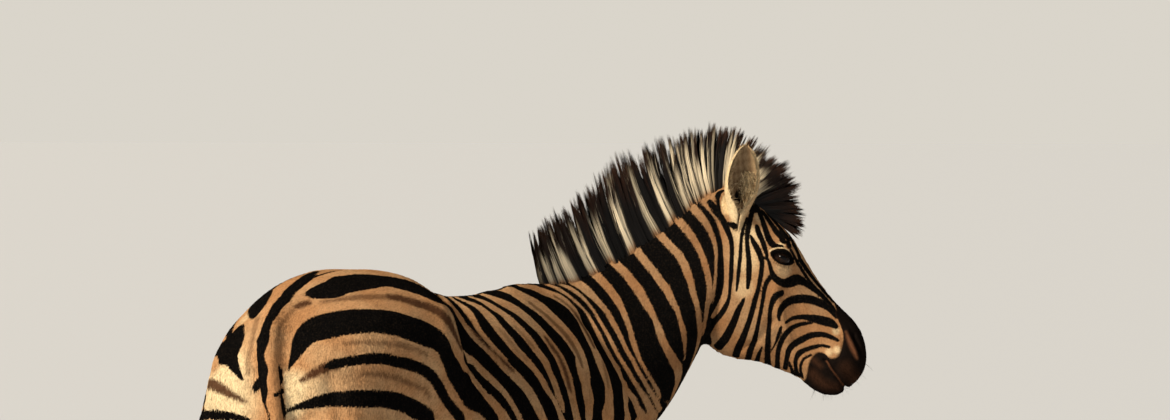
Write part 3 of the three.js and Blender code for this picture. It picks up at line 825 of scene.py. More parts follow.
lightBands = [  # tan on a black ground: trunk and neck, from the flank forward
    dict(beyond=[(-88, 1256, 4), (-96, 1240, 11), (-108, 1222, 14), (-126, 1202, 18), (-146, 1183, 24),
                 (-156, 1166, 28), (-146, 1150, 27), (-122, 1137, 23)]),
    dict(seen=[(473, 361, 5), (482, 370, 6.5), (492, 380, 6.5), (502, 390, 5.5), (509.5, 400, 5),
               (515.5, 410, 5), (520, 419, 4.5)],
         beyond=[(10, 940, 16), (38, 870, 26), (50, 800, 38), (52, 735, 52), (52, 680, 62)]),
    dict(seen=[(441, 296, 3), (450, 304, 4), (457, 312, 5), (463, 323, 6), (470, 332, 6),
               (477, 340, 5.5), (487, 349, 5.5), (497, 358, 8), (509, 370, 9.5), (519.5, 380, 9),
               (527.5, 390, 8.5), (534, 400, 8.5), (539.5, 410, 8), (543, 419, 7.5)],
         beyond=[(82, 930, 26), (104, 860, 32), (112, 790, 44), (114, 730, 56), (114, 680, 66)]),
    dict(seen=[(449, 297, 2), (459, 304, 3), (467, 311, 4.5), (473, 320, 4.5), (479, 330, 4.5),
               (487, 340, 4.5), (496, 350, 4.5), (504, 359, 5)]),
    dict(seen=[(455, 297, 2), (465, 301, 3), (477, 306, 4.5), (487, 314, 6), (498, 328, 7.5),
               (508, 340, 8), (516, 350, 7.5), (526, 360, 6.5), (535, 370, 5.5), (542, 380, 5.5),
               (547, 390, 5), (554, 400, 4), (558.5, 410, 4), (562, 419, 5)],
         beyond=[(156, 930, 26), (170, 860, 34), (176, 790, 46), (178, 730, 58), (178, 680, 64)]),
    dict(seen=[(470, 297, 2.5), (482, 301, 3.5), (492, 307, 5), (503, 314, 5), (512, 322, 7),
               (521, 331, 7), (529, 340, 7), (536, 350, 6.5), (544, 360, 6.5), (548.5, 370, 5),
               (553, 380, 5), (556.5, 390, 5), (560, 400, 5), (563, 410, 3)]),
    dict(seen=[(480, 294, 2.5), (490, 297, 4), (501, 302, 6.5), (513, 308, 7), (523, 315, 7),
               (532, 323, 7), (540, 331, 6.5), (548, 341, 7), (555, 351, 8), (560.5, 360, 8),
               (564.5, 370, 8), (568, 380, 7.5), (571, 390, 6.5), (573, 400, 6), (575.5, 410, 6.5),
               (577.5, 419, 7)],
         beyond=[(226, 920, 26), (238, 850, 34), (242, 780, 46), (244, 720, 58), (244, 680, 64)]),
    dict(seen=[(500, 290, 3), (511, 291, 7), (520, 296, 9), (530, 302, 10), (542, 310, 11),
               (553, 320, 11), (562, 329, 11), (571, 340, 11), (577, 350, 10.5), (581.5, 360, 9),
               (584, 370, 10), (586, 380, 10), (588, 390, 9), (588.5, 400, 8), (589, 410, 7),
               (588, 419, 5)],
         beyond=[(285, 920, 22), (300, 850, 32), (306, 780, 44), (308, 720, 54), (308, 680, 60)]),
    dict(seen=[(519, 285, 3), (531, 286.5, 5), (541, 291, 5.5), (552, 295, 6), (562, 300, 7),
               (572, 309, 6), (579, 320, 5.5), (585, 330, 5.5), (590, 341, 5), (594.5, 350, 5),
               (599, 360, 7), (603, 370, 7.5), (606.5, 380, 7), (609, 390, 6.5), (609.5, 400, 7.5),
               (609.5, 410, 9), (608, 419, 10)],
         beyond=[(372, 915, 36), (366, 850, 38), (360, 790, 42), (356, 740, 50)]),
    dict(seen=[(539, 282.5, 2), (550, 285.5, 2.5), (560, 290, 3), (569, 296, 2.5), (578, 304, 2.5),
               (585, 311, 2), (591, 320, 3), (596, 330, 4), (601, 340, 4), (606, 350, 3.5),
               (611.5, 360, 3.5), (617, 370, 4.5), (621, 380, 5), (625, 390, 6.5), (625.5, 400, 5),
               (626.5, 410, 5.5), (628, 419, 7.5)],
         beyond=[(482, 910, 28), (462, 850, 30), (440, 800, 34)]),
    dict(seen=[(628, 392, 4), (634, 400, 5), (638, 410, 5), (642, 419, 5.5)],
         beyond=[(548, 900, 26), (528, 850, 26)]),
    dict(seen=[(549, 281.5, 1.5), (562, 285, 2), (572, 289.5, 3.5), (583, 298, 3), (593, 310, 2.5),
               (599, 320, 3), (605, 330, 3), (610.5, 340, 3.5), (615.5, 350, 3.5), (621, 360, 3.5),
               (627.5, 370, 4), (633, 380, 4), (639.5, 390, 4.5), (645.5, 400, 5), (650.5, 410, 5),
               (654, 419, 6)], round=[(625, -135, 965, 12), (630, -118, 930, 4)]),
    dict(seen=[(573, 281, 8), (580, 285, 8), (587, 290.5, 8), (596.5, 300, 6), (605.5, 310, 5),
               (611.5, 320, 5.5), (617, 330, 5), (622, 340, 4.5), (626.5, 350, 4), (632.5, 360, 4),
               (637.5, 370, 4), (643.5, 380, 3.8), (649, 390, 3.8), (655, 400, 3.8), (660, 410, 3.4)]),
    dict(seen=[(592, 271, 9), (601, 280, 8), (610, 290, 8), (617, 300, 7.5), (622.5, 310, 6),
               (626.5, 320, 5.5), (630, 330, 5), (632.5, 340, 5.5), (636, 350, 5), (640, 360, 3.8),
               (645.5, 370, 3.6), (651.5, 380, 3.4), (657, 390, 3.2), (660, 397, 2.8)]),
    dict(seen=[(610, 258, 9), (618, 266, 8), (626, 274, 8.5), (632, 282, 9), (638.5, 290, 9.5),
               (644, 300, 8.5), (650, 310, 7.5), (655, 320, 5), (659, 330, 7.5), (663, 341, 7.5),
               (667.5, 350, 7.5), (673, 360, 8.5), (678, 369, 7.5), (678, 380, 4.5), (675, 389, 3.5),
               (672, 397, 3)]),
    dict(seen=[(632, 244, 9), (640, 255, 8), (647, 264, 8), (653, 271, 7.5), (660, 281, 8),
               (667, 290, 8), (671.5, 300, 7), (677, 310, 5), (680, 320, 4.5), (683, 330, 5.5),
               (684.5, 340, 4.5), (685, 350, 2.5), (684.5, 359, 1.5)]),
    dict(seen=[(654, 228, 9), (662, 237, 8), (669, 245, 7.5), (677, 253, 8), (683, 262, 8),
               (687, 272, 8), (691, 283, 6.5), (693, 293, 6), (697, 305, 5), (699, 320, 5),
               (700, 332, 4), (698, 344, 2.5)], round=[(790, 0, 1050, 10)]),
    dict(seen=[(673, 213, 9), (679, 221, 8), (686, 229, 8), (692, 237, 7), (698, 247, 6.5),
               (702.5, 257, 6), (706, 268, 6), (708.5, 279, 6), (709.5, 290, 5.5), (708, 302, 4.5),
               (706.5, 312, 4), (705, 322, 3), (703.5, 333, 2)]),
    dict(seen=[(690, 204, 8), (697, 212.5, 8), (705, 222, 7), (710, 231, 5.5), (714, 241, 4.5),
               (716, 252, 3.5), (716, 263, 2.5), (715.5, 275, 2.5), (714, 290, 3), (712, 302, 3)]),
    dict(seen=[(701, 198, 7), (708, 205.5, 7), (715, 214, 6), (719.5, 223, 5.5), (723, 233, 6),
               (726, 244, 7), (727, 256, 7), (727, 270, 5.5), (726.5, 284, 5), (724, 296, 5),
               (719, 306, 4.5), (713, 316, 4)]),
]

faceBands = [  # black on the light ground of the head
    [(724, 191, 2), (719, 193, 3.5), (717.5, 200, 4), (719, 207, 3), (720.5, 212, 2)],
    [(709, 201, 6), (716, 211, 7), (722, 219, 6.5), (727, 229, 6), (731, 240, 5), (732, 251, 4.5),
     (731.5, 263, 4.5), (731, 276, 4.5), (730, 288, 3.5), (729, 298, 3.5), (726, 306, 5),
     (721, 314, 5.5), (715, 321, 6), (710, 328, 6), (706, 336, 6), (704, 344, 7)],
    [(727, 223, 2.5), (731, 224.5, 5), (734, 226, 7), (736, 226.5, 4)],
    [(747, 218, 2.5), (744.5, 225, 3), (742, 233, 3.5), (741, 243, 3.5), (740.5, 253, 4),
     (739.5, 263, 4), (738.5, 273, 4), (737.5, 283, 3.5), (736.5, 291, 2)],
    [(753, 205, 5), (751.5, 214, 5), (749.5, 223, 5.5), (747.5, 232, 5.5), (747, 242, 4.5),
     (748, 252, 5), (749, 262, 5.5), (749, 272, 6), (748.5, 281, 5), (747.5, 288, 3.5)],
    [(744, 299, 3), (741, 305, 5), (738, 311, 6), (735, 319, 7), (730.5, 329, 8), (725, 339, 9),
     (718, 347, 9)],
    [(751, 236, 2.5), (753.5, 242, 5), (757, 248, 6), (760, 255, 6), (762, 263, 5), (761.5, 271, 5),
     (760, 280, 5), (758, 290, 4.5), (755, 300, 5.5), (752.5, 310, 5.5), (749.5, 320, 5.5),
     (746, 330, 6), (742, 340, 7), (737.5, 350, 7.5), (735, 359, 8)],
    [(770.5, 277, 5), (767, 282, 5), (764.5, 289, 4.5), (763, 299, 4), (761, 310, 4), (759, 320, 4),
     (757, 330, 4.5), (754.5, 340, 5.5), (750.5, 350, 6.5), (748, 359, 6.5)],
    [(762, 347, 2), (759, 354, 4), (757, 361, 5)],
    [(763, 258, 3), (767.5, 259, 3), (770, 266, 4), (772, 273, 5), (776, 279, 7), (783, 283, 8.5),
     (790, 282, 11), (797, 279.5, 11), (804, 282, 7), (811, 287.5, 5), (819, 293.5, 4),
     (826, 299.5, 3.5), (832, 306, 3), (837, 314, 2.5)],
    [(782, 293, 6), (776, 296, 7), (772, 303, 5.5), (770, 312, 4.5), (769.5, 322, 4.5), (768.5, 332, 5),
     (768, 342, 6), (767.5, 352, 6), (768, 364, 6)],
    [(779, 320, 3), (779, 315, 4.5), (781, 309.5, 6), (785, 304, 7.5), (791, 300.5, 8.5), (798, 299, 9),
     (806, 299, 9), (814, 300.5, 8.5), (821, 303.5, 8), (827, 307, 6), (832, 311.5, 5),
     (836, 316.5, 4)],
    [(786, 322.5, 3), (792, 318.5, 4), (800, 317, 5), (808, 317.5, 6.5), (816, 319, 8.5),
     (824, 321, 9.5), (831, 323, 8.5), (836, 326.5, 5)],
    [(812, 323, 2.5), (805, 323.5, 4), (798, 325, 4.5), (792, 328, 5), (786.5, 333, 5.5),
     (782, 340, 5.5), (779, 348, 5), (777.5, 357, 5), (777.5, 368, 5)],
    [(781, 327, 3), (779, 334, 4), (776, 342, 2.5), (771, 351, 1.5), (764, 359, 1)],
    [(838, 340.5, 3), (832, 337.5, 4.5), (825, 335, 5.5), (817, 334.5, 6), (809, 336, 6.5),
     (801, 340, 7), (794, 344, 6.5), (789, 350, 6), (787, 358, 5), (785.5, 366, 5), (784.5, 374, 5)],
    [(789, 362, 2.5), (791.5, 369, 3), (794.5, 377, 3)],
    [(829, 347, 3), (822, 345.5, 3.5), (814, 347, 4.5), (806, 349.5, 5), (799.5, 353, 6),
     (796, 359, 4.5), (795.5, 366, 4), (797, 373, 4), (799, 379, 4)],
    [(811, 355, 2.5), (805, 358, 3), (801.5, 363, 3), (800.5, 369, 3), (802, 377, 3)],
    [(757, 227, 4.5), (759, 233, 5.5), (762, 240, 5), (764.5, 247, 5), (766.5, 254, 4), (767, 259, 3)],
    [(757, 206, 3), (760, 214, 4), (763, 222, 5), (766, 231, 5.5), (769, 239, 6), (774, 245.5, 6),
     (781, 247.5, 3)],
    [(763, 212, 3), (770, 222, 4), (776, 231, 5.5), (781, 237, 5.5), (783.5, 242, 4)],
    [(767, 213, 2.5), (777, 224, 3), (783, 231, 3.5), (787.5, 238, 3.5), (789, 246, 3)],
    [(773, 215, 2.5), (781, 224, 2.5), (788, 233, 3), (793.5, 243, 3.5), (797.5, 253, 3.5),
     (803, 263, 3.5), (810, 274, 3.5), (817, 283, 3), (824, 291, 3), (832, 300, 3)],
    [(782, 221, 2.5), (789, 230, 2.5), (795, 240, 2.5), (801, 250, 3), (808, 261, 3), (815, 272, 3),
     (822, 282, 3), (830, 292, 3), (838, 301, 4)],
    [(791, 250, 3), (797, 262, 2.5), (802, 270, 3), (808, 279, 3), (815, 287, 2.5), (822, 294, 2.5),
     (829, 302, 2.5)],
]

shadeBands = [  # brown shadow stripes: width, then strength from 0 to 1
    dict(seen=[(297, 307, 5), (303, 304, 6), (308, 303, 5)], strength=0.95),
    dict(seen=[(297, 307, 4), (291, 312, 4), (286, 318, 3.5), (281, 325, 3.5), (279, 332, 3),
               (278, 340, 3)], strength=0.4),
    dict(seen=[(300, 381, 3), (306, 378, 6), (314, 373.5, 9), (324, 368.5, 10.5), (338, 363.5, 11)],
         strength=1.0),
    dict(seen=[(322, 302, 3), (334, 300.5, 3), (345, 298.5, 4.5), (360, 297.5, 5), (375, 297, 5),
               (390, 297, 5.5)], strength=0.6),
    dict(seen=[(390, 297, 5.5), (401, 298.5, 6), (412, 302, 6.5), (425, 306, 7), (435, 310, 8),
               (443, 315, 8), (449, 322, 7), (453, 330, 5), (457, 339, 4), (461, 348, 3)],
         strength=0.85),
    dict(seen=[(345, 344, 4), (360, 343, 4.5), (375, 342.5, 5), (390, 343.5, 6), (404, 346, 6),
               (417, 350, 5), (426, 355, 4)], strength=0.5),
    dict(seen=[(362, 373.5, 4), (375, 374.5, 5), (388, 376, 5), (400, 379.5, 6), (412, 384.5, 5),
               (423, 389.5, 5), (430, 397, 4)], strength=0.55),
    dict(seen=[(330, 378, 4), (345, 377, 4), (360, 377, 4)], strength=0.2),
    dict(seen=[(203, 383, 11), (212, 384.5, 11), (221, 388.5, 10), (230, 394.5, 8), (238, 398, 6),
               (246, 402, 3)], strength=0.85, left=True),
    dict(seen=[(257, 320, 4), (254, 333, 4), (251, 347, 4), (248, 360, 5), (248, 373, 4)], strength=0.4,
         left=True),
    dict(seen=[(455, 305, 2.5), (463, 315, 3.5), (470, 325, 4), (478, 336, 3.5), (487, 346, 3),
               (496, 354, 2), (504, 362, 3), (512, 370, 3)], strength=0.9),
    dict(seen=[(500, 330, 3), (510, 341, 4), (517, 350, 3), (526, 359, 3)], strength=0.35),
    dict(seen=[(516, 328, 2.5), (524, 336, 3), (533, 347, 2.5)], strength=0.35),
    dict(seen=[(545, 337, 2), (552, 347, 3), (559, 357, 3), (564, 368, 3), (567.5, 379, 3),
               (570, 390, 3)], strength=0.8),
    dict(seen=[(530, 303, 2.5), (543, 313, 3), (553, 322, 3), (563, 332, 4), (572, 344, 4),
               (578, 355, 3.5), (582, 366, 2.5)], strength=0.6),
    dict(seen=[(554, 296, 1.5), (565, 303, 2), (574, 312, 2.5), (581, 323, 3), (588, 335, 2.5),
               (594, 347, 2)], strength=0.75),
    dict(seen=[(603, 362, 2), (606, 374, 2.5), (608, 386, 2)], strength=0.4),
    # painted light: the lit brown rim behind the nostril
    dict(seen=[(846, 332, 1), (848.5, 339, 3), (851.5, 346, 4), (854.5, 352, 4), (857, 358, 1.5)],
         strength=0.62, soft=0.006),   # by the nostril
    dict(seen=[(827, 361, 1.6), (830, 367, 1.6), (835, 374, 1.4), (840, 381, 1.4), (845, 387, 1.4)],
         strength=0.60, soft=0.0016),   # edge of the upper lip
    dict(seen=[(846, 368, 12), (852, 376, 12), (857, 380, 10)], strength=0.13, soft=0.016),
    dict(seen=[(813, 374, 9), (820, 382, 9), (828, 386, 9), (837, 388, 6)], strength=0.14, soft=0.014),
    dict(seen=[(814, 360, 4), (820, 366, 4)], strength=0.16, soft=0.010),
]
creamSpots = [  # paler ground: (across, down, radius, strength)
    (292, 386, 15, 0.9), (289, 408, 14, 0.9), (312, 392, 16, 0.45), (230, 372, 22, 0.8),
    (228, 402, 26, 1.0), (209, 398, 20, 1.0), (246, 318, 10, 0.5), (736, 214, 9, 1.0),
    (741, 232, 14, 0.7), (745, 258, 15, 0.6), (743, 288, 10, 0.5), (757, 236, 9, 0.6),
    # the spots at (836, 331) and (837, 350), by the muzzle's edge, are pale hair brightened as a
    # painted highlight
    (784, 270, 9, 0.45), (781, 246, 4, 0.8), (836, 331, 4, 0.7), (837, 350, 4, 0.7),
    (829, 352, 4, 0.6), (760, 218, 6, 0.5), (728, 206, 10, 1.0),
]
coatField = dict(
    rearEdge=[(-0.030, 1.290), (-0.048, 1.270), (-0.066, 1.254), (-0.084, 1.240), (-0.100, 1.224),
              (-0.128, 1.204), (-0.165, 1.184), (-0.200, 1.166), (-0.222, 1.146), (-0.205, 1.132),
              (-0.160, 1.117), (-0.128, 1.094), (-0.106, 1.071), (-0.088, 1.048), (-0.069, 1.025),
              (-0.055, 1.000), (-0.042, 0.930), (-0.028, 0.860), (-0.020, 0.790), (-0.020, 0.600)],
    frontEdge=[(701, 198), (709, 207), (716, 217), (721, 228), (725, 241), (727, 256), (727, 272),
               (727, 286), (724, 297), (718, 308), (712, 320), (707, 334)],
    lowEdge=[(-0.10, 0.705), (0.20, 0.700), (0.34, 0.780), (0.44, 0.850), (0.54, 0.835), (0.60, 0.790)],
    muzzle=[(833, 300), (836, 309), (836, 316), (840, 324), (843, 334), (842, 345), (838, 356),
            (830, 358), (824, 353), (817, 352), (811, 358), (808, 366), (806, 377), (801, 383)],
    # s and z along the middle plane, and width in millimetres
    spine=[(-0.545, 1.30, 16), (-0.46, 1.345, 13), (-0.36, 1.350, 12), (-0.2, 1.31, 12),
           (0.0, 1.28, 12), (0.2, 1.27, 12), (0.38, 1.285, 12)],
    belly=[(-0.25, 0.72, 20), (-0.05, 0.68, 34), (0.15, 0.67, 38), (0.34, 0.70, 30), (0.46, 0.78, 14)],
    leftBend=0.008,      # how much the left side's bands differ from the right side's
    # how far the light ground darkens toward brown along the neck
    neckDarkening=[(0.50, 0.0), (0.66, 0.30), (0.84, 0.48), (0.97, 0.22)],   # by s
    # painted shade: the front of the face, toward the nose, is darkened toward brown
    paintedFaceShade=0.26,
)
dock = dict(   # the tail's axis, and its bands across it, to the right of the axis as seen from behind
    path=[(-0.575, -0.006, 1.255), (-0.612, -0.016, 1.232), (-0.660, -0.044, 1.170),
          (-0.686, -0.072, 1.095), (-0.698, -0.095, 1.015), (-0.702, -0.107, 0.940),
          (-0.702, -0.112, 0.862)],
    radius=(0.034, 0.024),
    blackUpTo=-0.002,
    # the dark right edge: partly dark hair, partly painted shadow between tail and buttock
    edgeFrom=(0.0160, 0.0215),
    edgeBelow=1.165,
    apartBelow=1.215,
    barAt=1.082,
    blackWidth=0.014,
    widerFrom=(1.066, 1.084),    # the black band is wider above this height
)
leftFrom = [  # the left side's own marks lie behind this s, by height
    (0.60, -0.720), (0.96, -0.720), (1.01, -0.620), (1.05, -0.585), (1.10, -0.580), (1.15, -0.555),
    (1.20, -0.500), (1.30, -0.470), (1.34, -0.400),
]
chest = dict(spacing=0.056, droop=0.42, light=0.46, side=(0.165, 0.095), front=0.545, top=1.045)
rings = dict(  # the bands round the legs: height, then spacing and dark share at that height
    fore=[(0.86, 0.062, 0.56), (0.70, 0.056, 0.54), (0.50, 0.044, 0.52), (0.40, 0.034, 0.46),
          (0.25, 0.030, 0.32), (0.12, 0.028, 0.22)],
    hind=[(0.80, 0.064, 0.56), (0.62, 0.054, 0.54), (0.50, 0.040, 0.50), (0.40, 0.034, 0.42),
          (0.25, 0.031, 0.30), (0.12, 0.028, 0.20)],
    top=dict(fore=0.850, hind=0.760),
    bottom=0.085,
)


def midLine(band):
    s, z, width = np.array(band).T
    return onSkin(np.stack([s, 0 * s, z], 1)), width / 2000


def heightTable(line):  # s by z along an edge, sorted for interpolation
    line = line[np.argsort(line[:, 1])]
    return line[:, 1], line[:, 0]


darkLines = [(bandLine(band), band.get("both", True)) for band in darkBands]
leftLines = [bandLine(band) for band in leftBands]
lightLines = [bandLine(band) for band in lightBands]
faceLines = [seenLine(seen) for seen in faceBands]
shadeLines = [(seenLine(band["seen"]), band) for band in shadeBands]
spineLine, bellyLine = midLine(coatField["spine"]), midLine(coatField["belly"])
rearTable = heightTable(curveThrough(coatField["rearEdge"], 4))
frontTable = heightTable(known(seenOn(curveThrough(coatField["frontEdge"], 3)))[0][:, [0, 2]])
creamPlaces = seenOn([spot[:2] for spot in creamSpots])
muzzleEdge = known(seenOn(curveThrough(coatField["muzzle"], 3)))[0]
print("bands laid on the skin")


def dockPlace(plain):  # 1 on the tail, and the distance to the right of its axis as seen from behind
    path = curveThrough(dock["path"], 5)
    z = plain[:, 2]
    heights, order = path[:, 2], np.argsort(path[:, 2])
    offset = plain[:, :2] - rowsAt(z, heights[order], path[order, :2])
    near = depthIn(plain, path, np.linspace(*dock["radius"], len(path)), 0.05)
    apart = ease(dock["apartBelow"], dock["apartBelow"] - 0.04, z)
    return ease(-0.002, 0.003, near) * apart, offset @ rightWay[:2]


def bandShare(plain):  # rings round the legs, as depth in their black
    best = np.full(len(plain), -0.03)
    s, y, z = plain.T
    high = ease(0.68, 0.76, z)
    foreHere = (s > 0.2) & (s > 0.33 * high) & (s < 0.7 - 0.12 * high)
    for leg, around in (("fore", foreHere), ("hind", s < -0.26)):
        heights, spacings, shares = np.array(rings[leg])[::-1].T
        levels = np.arange(0.0, 1.0, 0.002)
        count = np.cumsum(0.002 / np.interp(levels, heights, spacings))
        if leg == "fore":
            lean = 0.15 * (s - 0.43) + 0.55 * np.abs(s - 0.44) * high
        else:
            lean = -0.35 * (s + 0.56)
        wave = 0.006 * np.sin(z * 41 + s * 9) + 0.004 * np.sin(z * 97 + y * 30)
        level = z + lean * ease(0.3, 0.6, z) + wave
        turn = np.interp(level, levels, count)
        share = np.interp(z, heights, shares)
        inner = ease(0.06, 0.0, np.abs(y) - 0.085)
        share = share * (1 - 0.6 * inner)
        depth = (share / 2 - np.abs(turn % 1 - 0.5)) * np.interp(z, heights, spacings)
        top = rings["top"][leg]
        depth = np.minimum(depth, (top - z) * 0.7)
        depth = np.minimum(depth, (z - rings["bottom"]))
        best = np.where(around, np.maximum(best, depth), best)
    return best


def chestLight(both):  # light bands that hang across the chest, as depth in them
    s, y, z = both.T
    turn = (z - chest["droop"] * np.abs(y) + 0.004 * np.sin(y * 50)) / chest["spacing"]
    side = np.interp(z, (0.94, 1.02), chest["side"])
    here = ease(side, 0.04, np.abs(y)) * ease(chest["front"], chest["front"] + 0.05, s)
    here = here * ease(chest["top"], chest["top"] - 0.12, z)
    depth = chest["light"] * here / 2 - np.abs(turn % 1 - 0.5) - 0.03 * (here <= 0)
    return depth * chest["spacing"] - 0.002


earMarks = dict(
    rim=12,                        # degrees
    # the black in the ear's hollow is painted shade
    hollow=(0.27, 0.006),          # share of the length, and place across
    hollowSize=(0.0175, 0.0120),
    inside=0.66,
    warmth=0.35,
    backBlack=(0.66, 0.90),        # share of the length
    backFrom=38,                   # degrees from the opening's edge
    base=0.42,
)


def earEdge(both):  # degrees from the edge of the ear's opening, past zero on its wall
    offset = both - earBase
    width, deep, gap = earSize(offset @ earUp / earLength)
    turn = np.degrees(np.arctan2(np.abs(offset @ earAcross) / width, -(offset @ earOpen) / deep))
    return 180 - gap - turn


def markEars(both, ink, shade, warm):
    share, out = earPlace(both)
    onEar = ease(0.0, 0.10, share) * (out < 1.5) * (both[:, 0] > 0.84) * (both[:, 2] > 1.40)
    inside = onEar * (out < 0.93)
    outside = onEar * (out >= 0.93)
    edge = earEdge(both)
    across = (both - earBase) @ earAcross
    front = ease(-0.006, 0.006, across)
    rim = ease(earMarks["rim"], earMarks["rim"] * 0.4, edge)
    behind = rim * (1 - front) * ease(0.86, 0.80, share)
    rim = rim * np.maximum(front, ease(0.80, 0.88, share))
    low, high = earMarks["backBlack"]
    backInk = np.minimum(share - low, high - share) * earLength
    backInk = np.where(share > earMarks["base"], backInk, -0.02)
    backInk = np.minimum(np.where(rim > 0.5, -0.01, backInk), (edge - earMarks["backFrom"]) * 0.0006)
    # painted shade: black in the hollow low inside the ear
    (hollowAt, hollowAcross), (tall, wide) = earMarks["hollow"], earMarks["hollowSize"]
    gap = np.hypot((share - hollowAt) * earLength / tall, (across - hollowAcross) / wide)
    hollow = (1 - gap) * wide + 0.0015 * np.sin(share * 60 + across * 900)
    ink = np.where(inside > 0.5, np.clip(hollow, -0.02, 0.02), ink)
    ink = np.where((outside > 0.5) & (share > 0.32 + 0.14 * front), np.clip(backInk, -0.02, 0.02), ink)
    mottle = 1 + 0.22 * np.sin(share * 34 + across * 160) * np.sin(share * 11 - across * 240)
    mottle = mottle - 4.0 * across
    streak = ease(0.24, 0.32, share) * ease(0.58, 0.48, share)
    streak = streak * ease(0.013, 0.006, np.abs(across + 0.002))
    streak = streak * ease(-0.5, 0.4, np.sin(across * 1100 + share * 12))
    lining = np.clip(earMarks["inside"] * mottle, 0.2, 0.95)
    lining = np.maximum(np.maximum(lining, 0.92 * streak), 0.9 * behind) * (1 - 0.9 * rim)
    shade = np.where(inside > 0.5, lining, shade * (1 - outside))
    warm = warm * (1 - 0.95 * outside * (1 - 0.6 * front))
    warm = np.where(inside > 0.5, earMarks["warmth"], warm)
    return ink, shade, warm


def bodyInk(plain, both):  # the black ground of trunk and neck, less the light bands on it
    s, z = plain[:, 0], plain[:, 2]
    field = np.minimum((both[:, 0] - np.interp(both[:, 2], *rearTable)) * 0.75,
                       np.interp(both[:, 2], *frontTable) - both[:, 0])
    lowEdge = np.interp(both[:, 0], *np.array(coatField["lowEdge"]).T)
    field = np.minimum(field, z - lowEdge + 0.008 * np.sin(both[:, 1] * 34 + 1))
    field = field - 0.022 * ease(0.86, 0.70, z) * ease(0.40, 0.32, s)
    ink = np.clip(field, -0.03, 0.03)
    for line, half in lightLines:
        ink = np.minimum(ink, -depthIn(both, folded(line), half))
    return np.minimum(ink, -chestLight(both))


def faceInk(both):
    ink = np.full(len(both), -0.05)
    ahead = both[:, 0] > 0.80
    for line, half in faceLines:
        ink[ahead] = np.maximum(ink[ahead], depthIn(both[ahead], folded(line), half))
    return ink


def dockInk(z, rightward):  # the tail's black band, the dark at its right edge, partly dark hair and partly painted shadow between tail and buttock, and a bar between
    wavy = rightward + 0.003 * np.sin(z * 55) + 0.002 * np.sin(z * 130 + 1)
    bar = np.minimum(0.005 - np.abs(z - dock["barAt"] - 0.3 * rightward), rightward - 0.006)
    black = dock["blackUpTo"] - 0.006 * ease(1.14, 1.10, z) - wavy
    black = np.minimum(black, wavy + dock["blackWidth"] + 0.03 * ease(*dock["widerFrom"], z))
    edge = rightward - np.interp(z, (1.00, 1.13), dock["edgeFrom"]) + 0.001 * np.sin(z * 90)
    edge = edge - 0.05 * ease(dock["edgeBelow"] - 0.02, dock["edgeBelow"], z)
    return np.maximum(np.maximum(black, edge), bar)


def shadowOf(plain, both, behind):  # strength of the brown shadow stripes, and on the muzzle of its browns and of the nostril's painted light
    shade = np.zeros(len(plain))
    for (line, half), band in shadeLines:
        soft = band.get("soft", 0.0035)
        if band.get("left", False):
            depth = depthIn(plain, line, half, 0.02)
        else:
            depth = np.where(behind, -0.05, depthIn(both, folded(line), half, 0.02))
        shade = np.maximum(shade, min(1.0, band["strength"] * 1.15) * ease(-soft, soft, depth))
    return shade


def warmthOf(plain, both):  # 1 where the light ground is tan, 0 where it is cream
    warm = 1 - 0.9 * ease(0.80, 0.62, plain[:, 2])
    for place, (*_, radius, strength) in zip(creamPlaces, creamSpots):
        if not np.isnan(place).any():
            reach = radius * stage["distance"] / view["focus"]
            gap = np.linalg.norm((both if place[1] < 0 else plain) - place, axis=1)
            warm = warm * (1 - strength * ease(1.5, 0.5, gap / reach))
    return warm


def duskOf(s, a, b):  # how far ahead of the dark muzzle's edge
    edgeA, edgeB = headMeasure(muzzleEdge)
    order = np.argsort(edgeB)
    return np.where(s > 0.9, a - np.interp(b, edgeB[order], edgeA[order]), -0.05)


def markLids(both, ink, warm):  # black lids with a pale line over them
    near = (np.abs(both - eyeCentre) < 0.06).all(1)
    along, above, _, ring = eyeSpot(both)
    ring = np.where(near, ring, 9)
    rim = (lids["darkTo"] - ring) * 0.020
    paleHere = (above > 0.002) & (along < 0.010) & (ring < lids["paleTo"])
    warm = np.where(paleHere & (ring > lids["darkTo"]), 0.15, warm)
    lidInk = np.maximum(np.where(paleHere, np.minimum(ink, rim), ink), rim)
    return np.where(near, lidInk, ink), warm


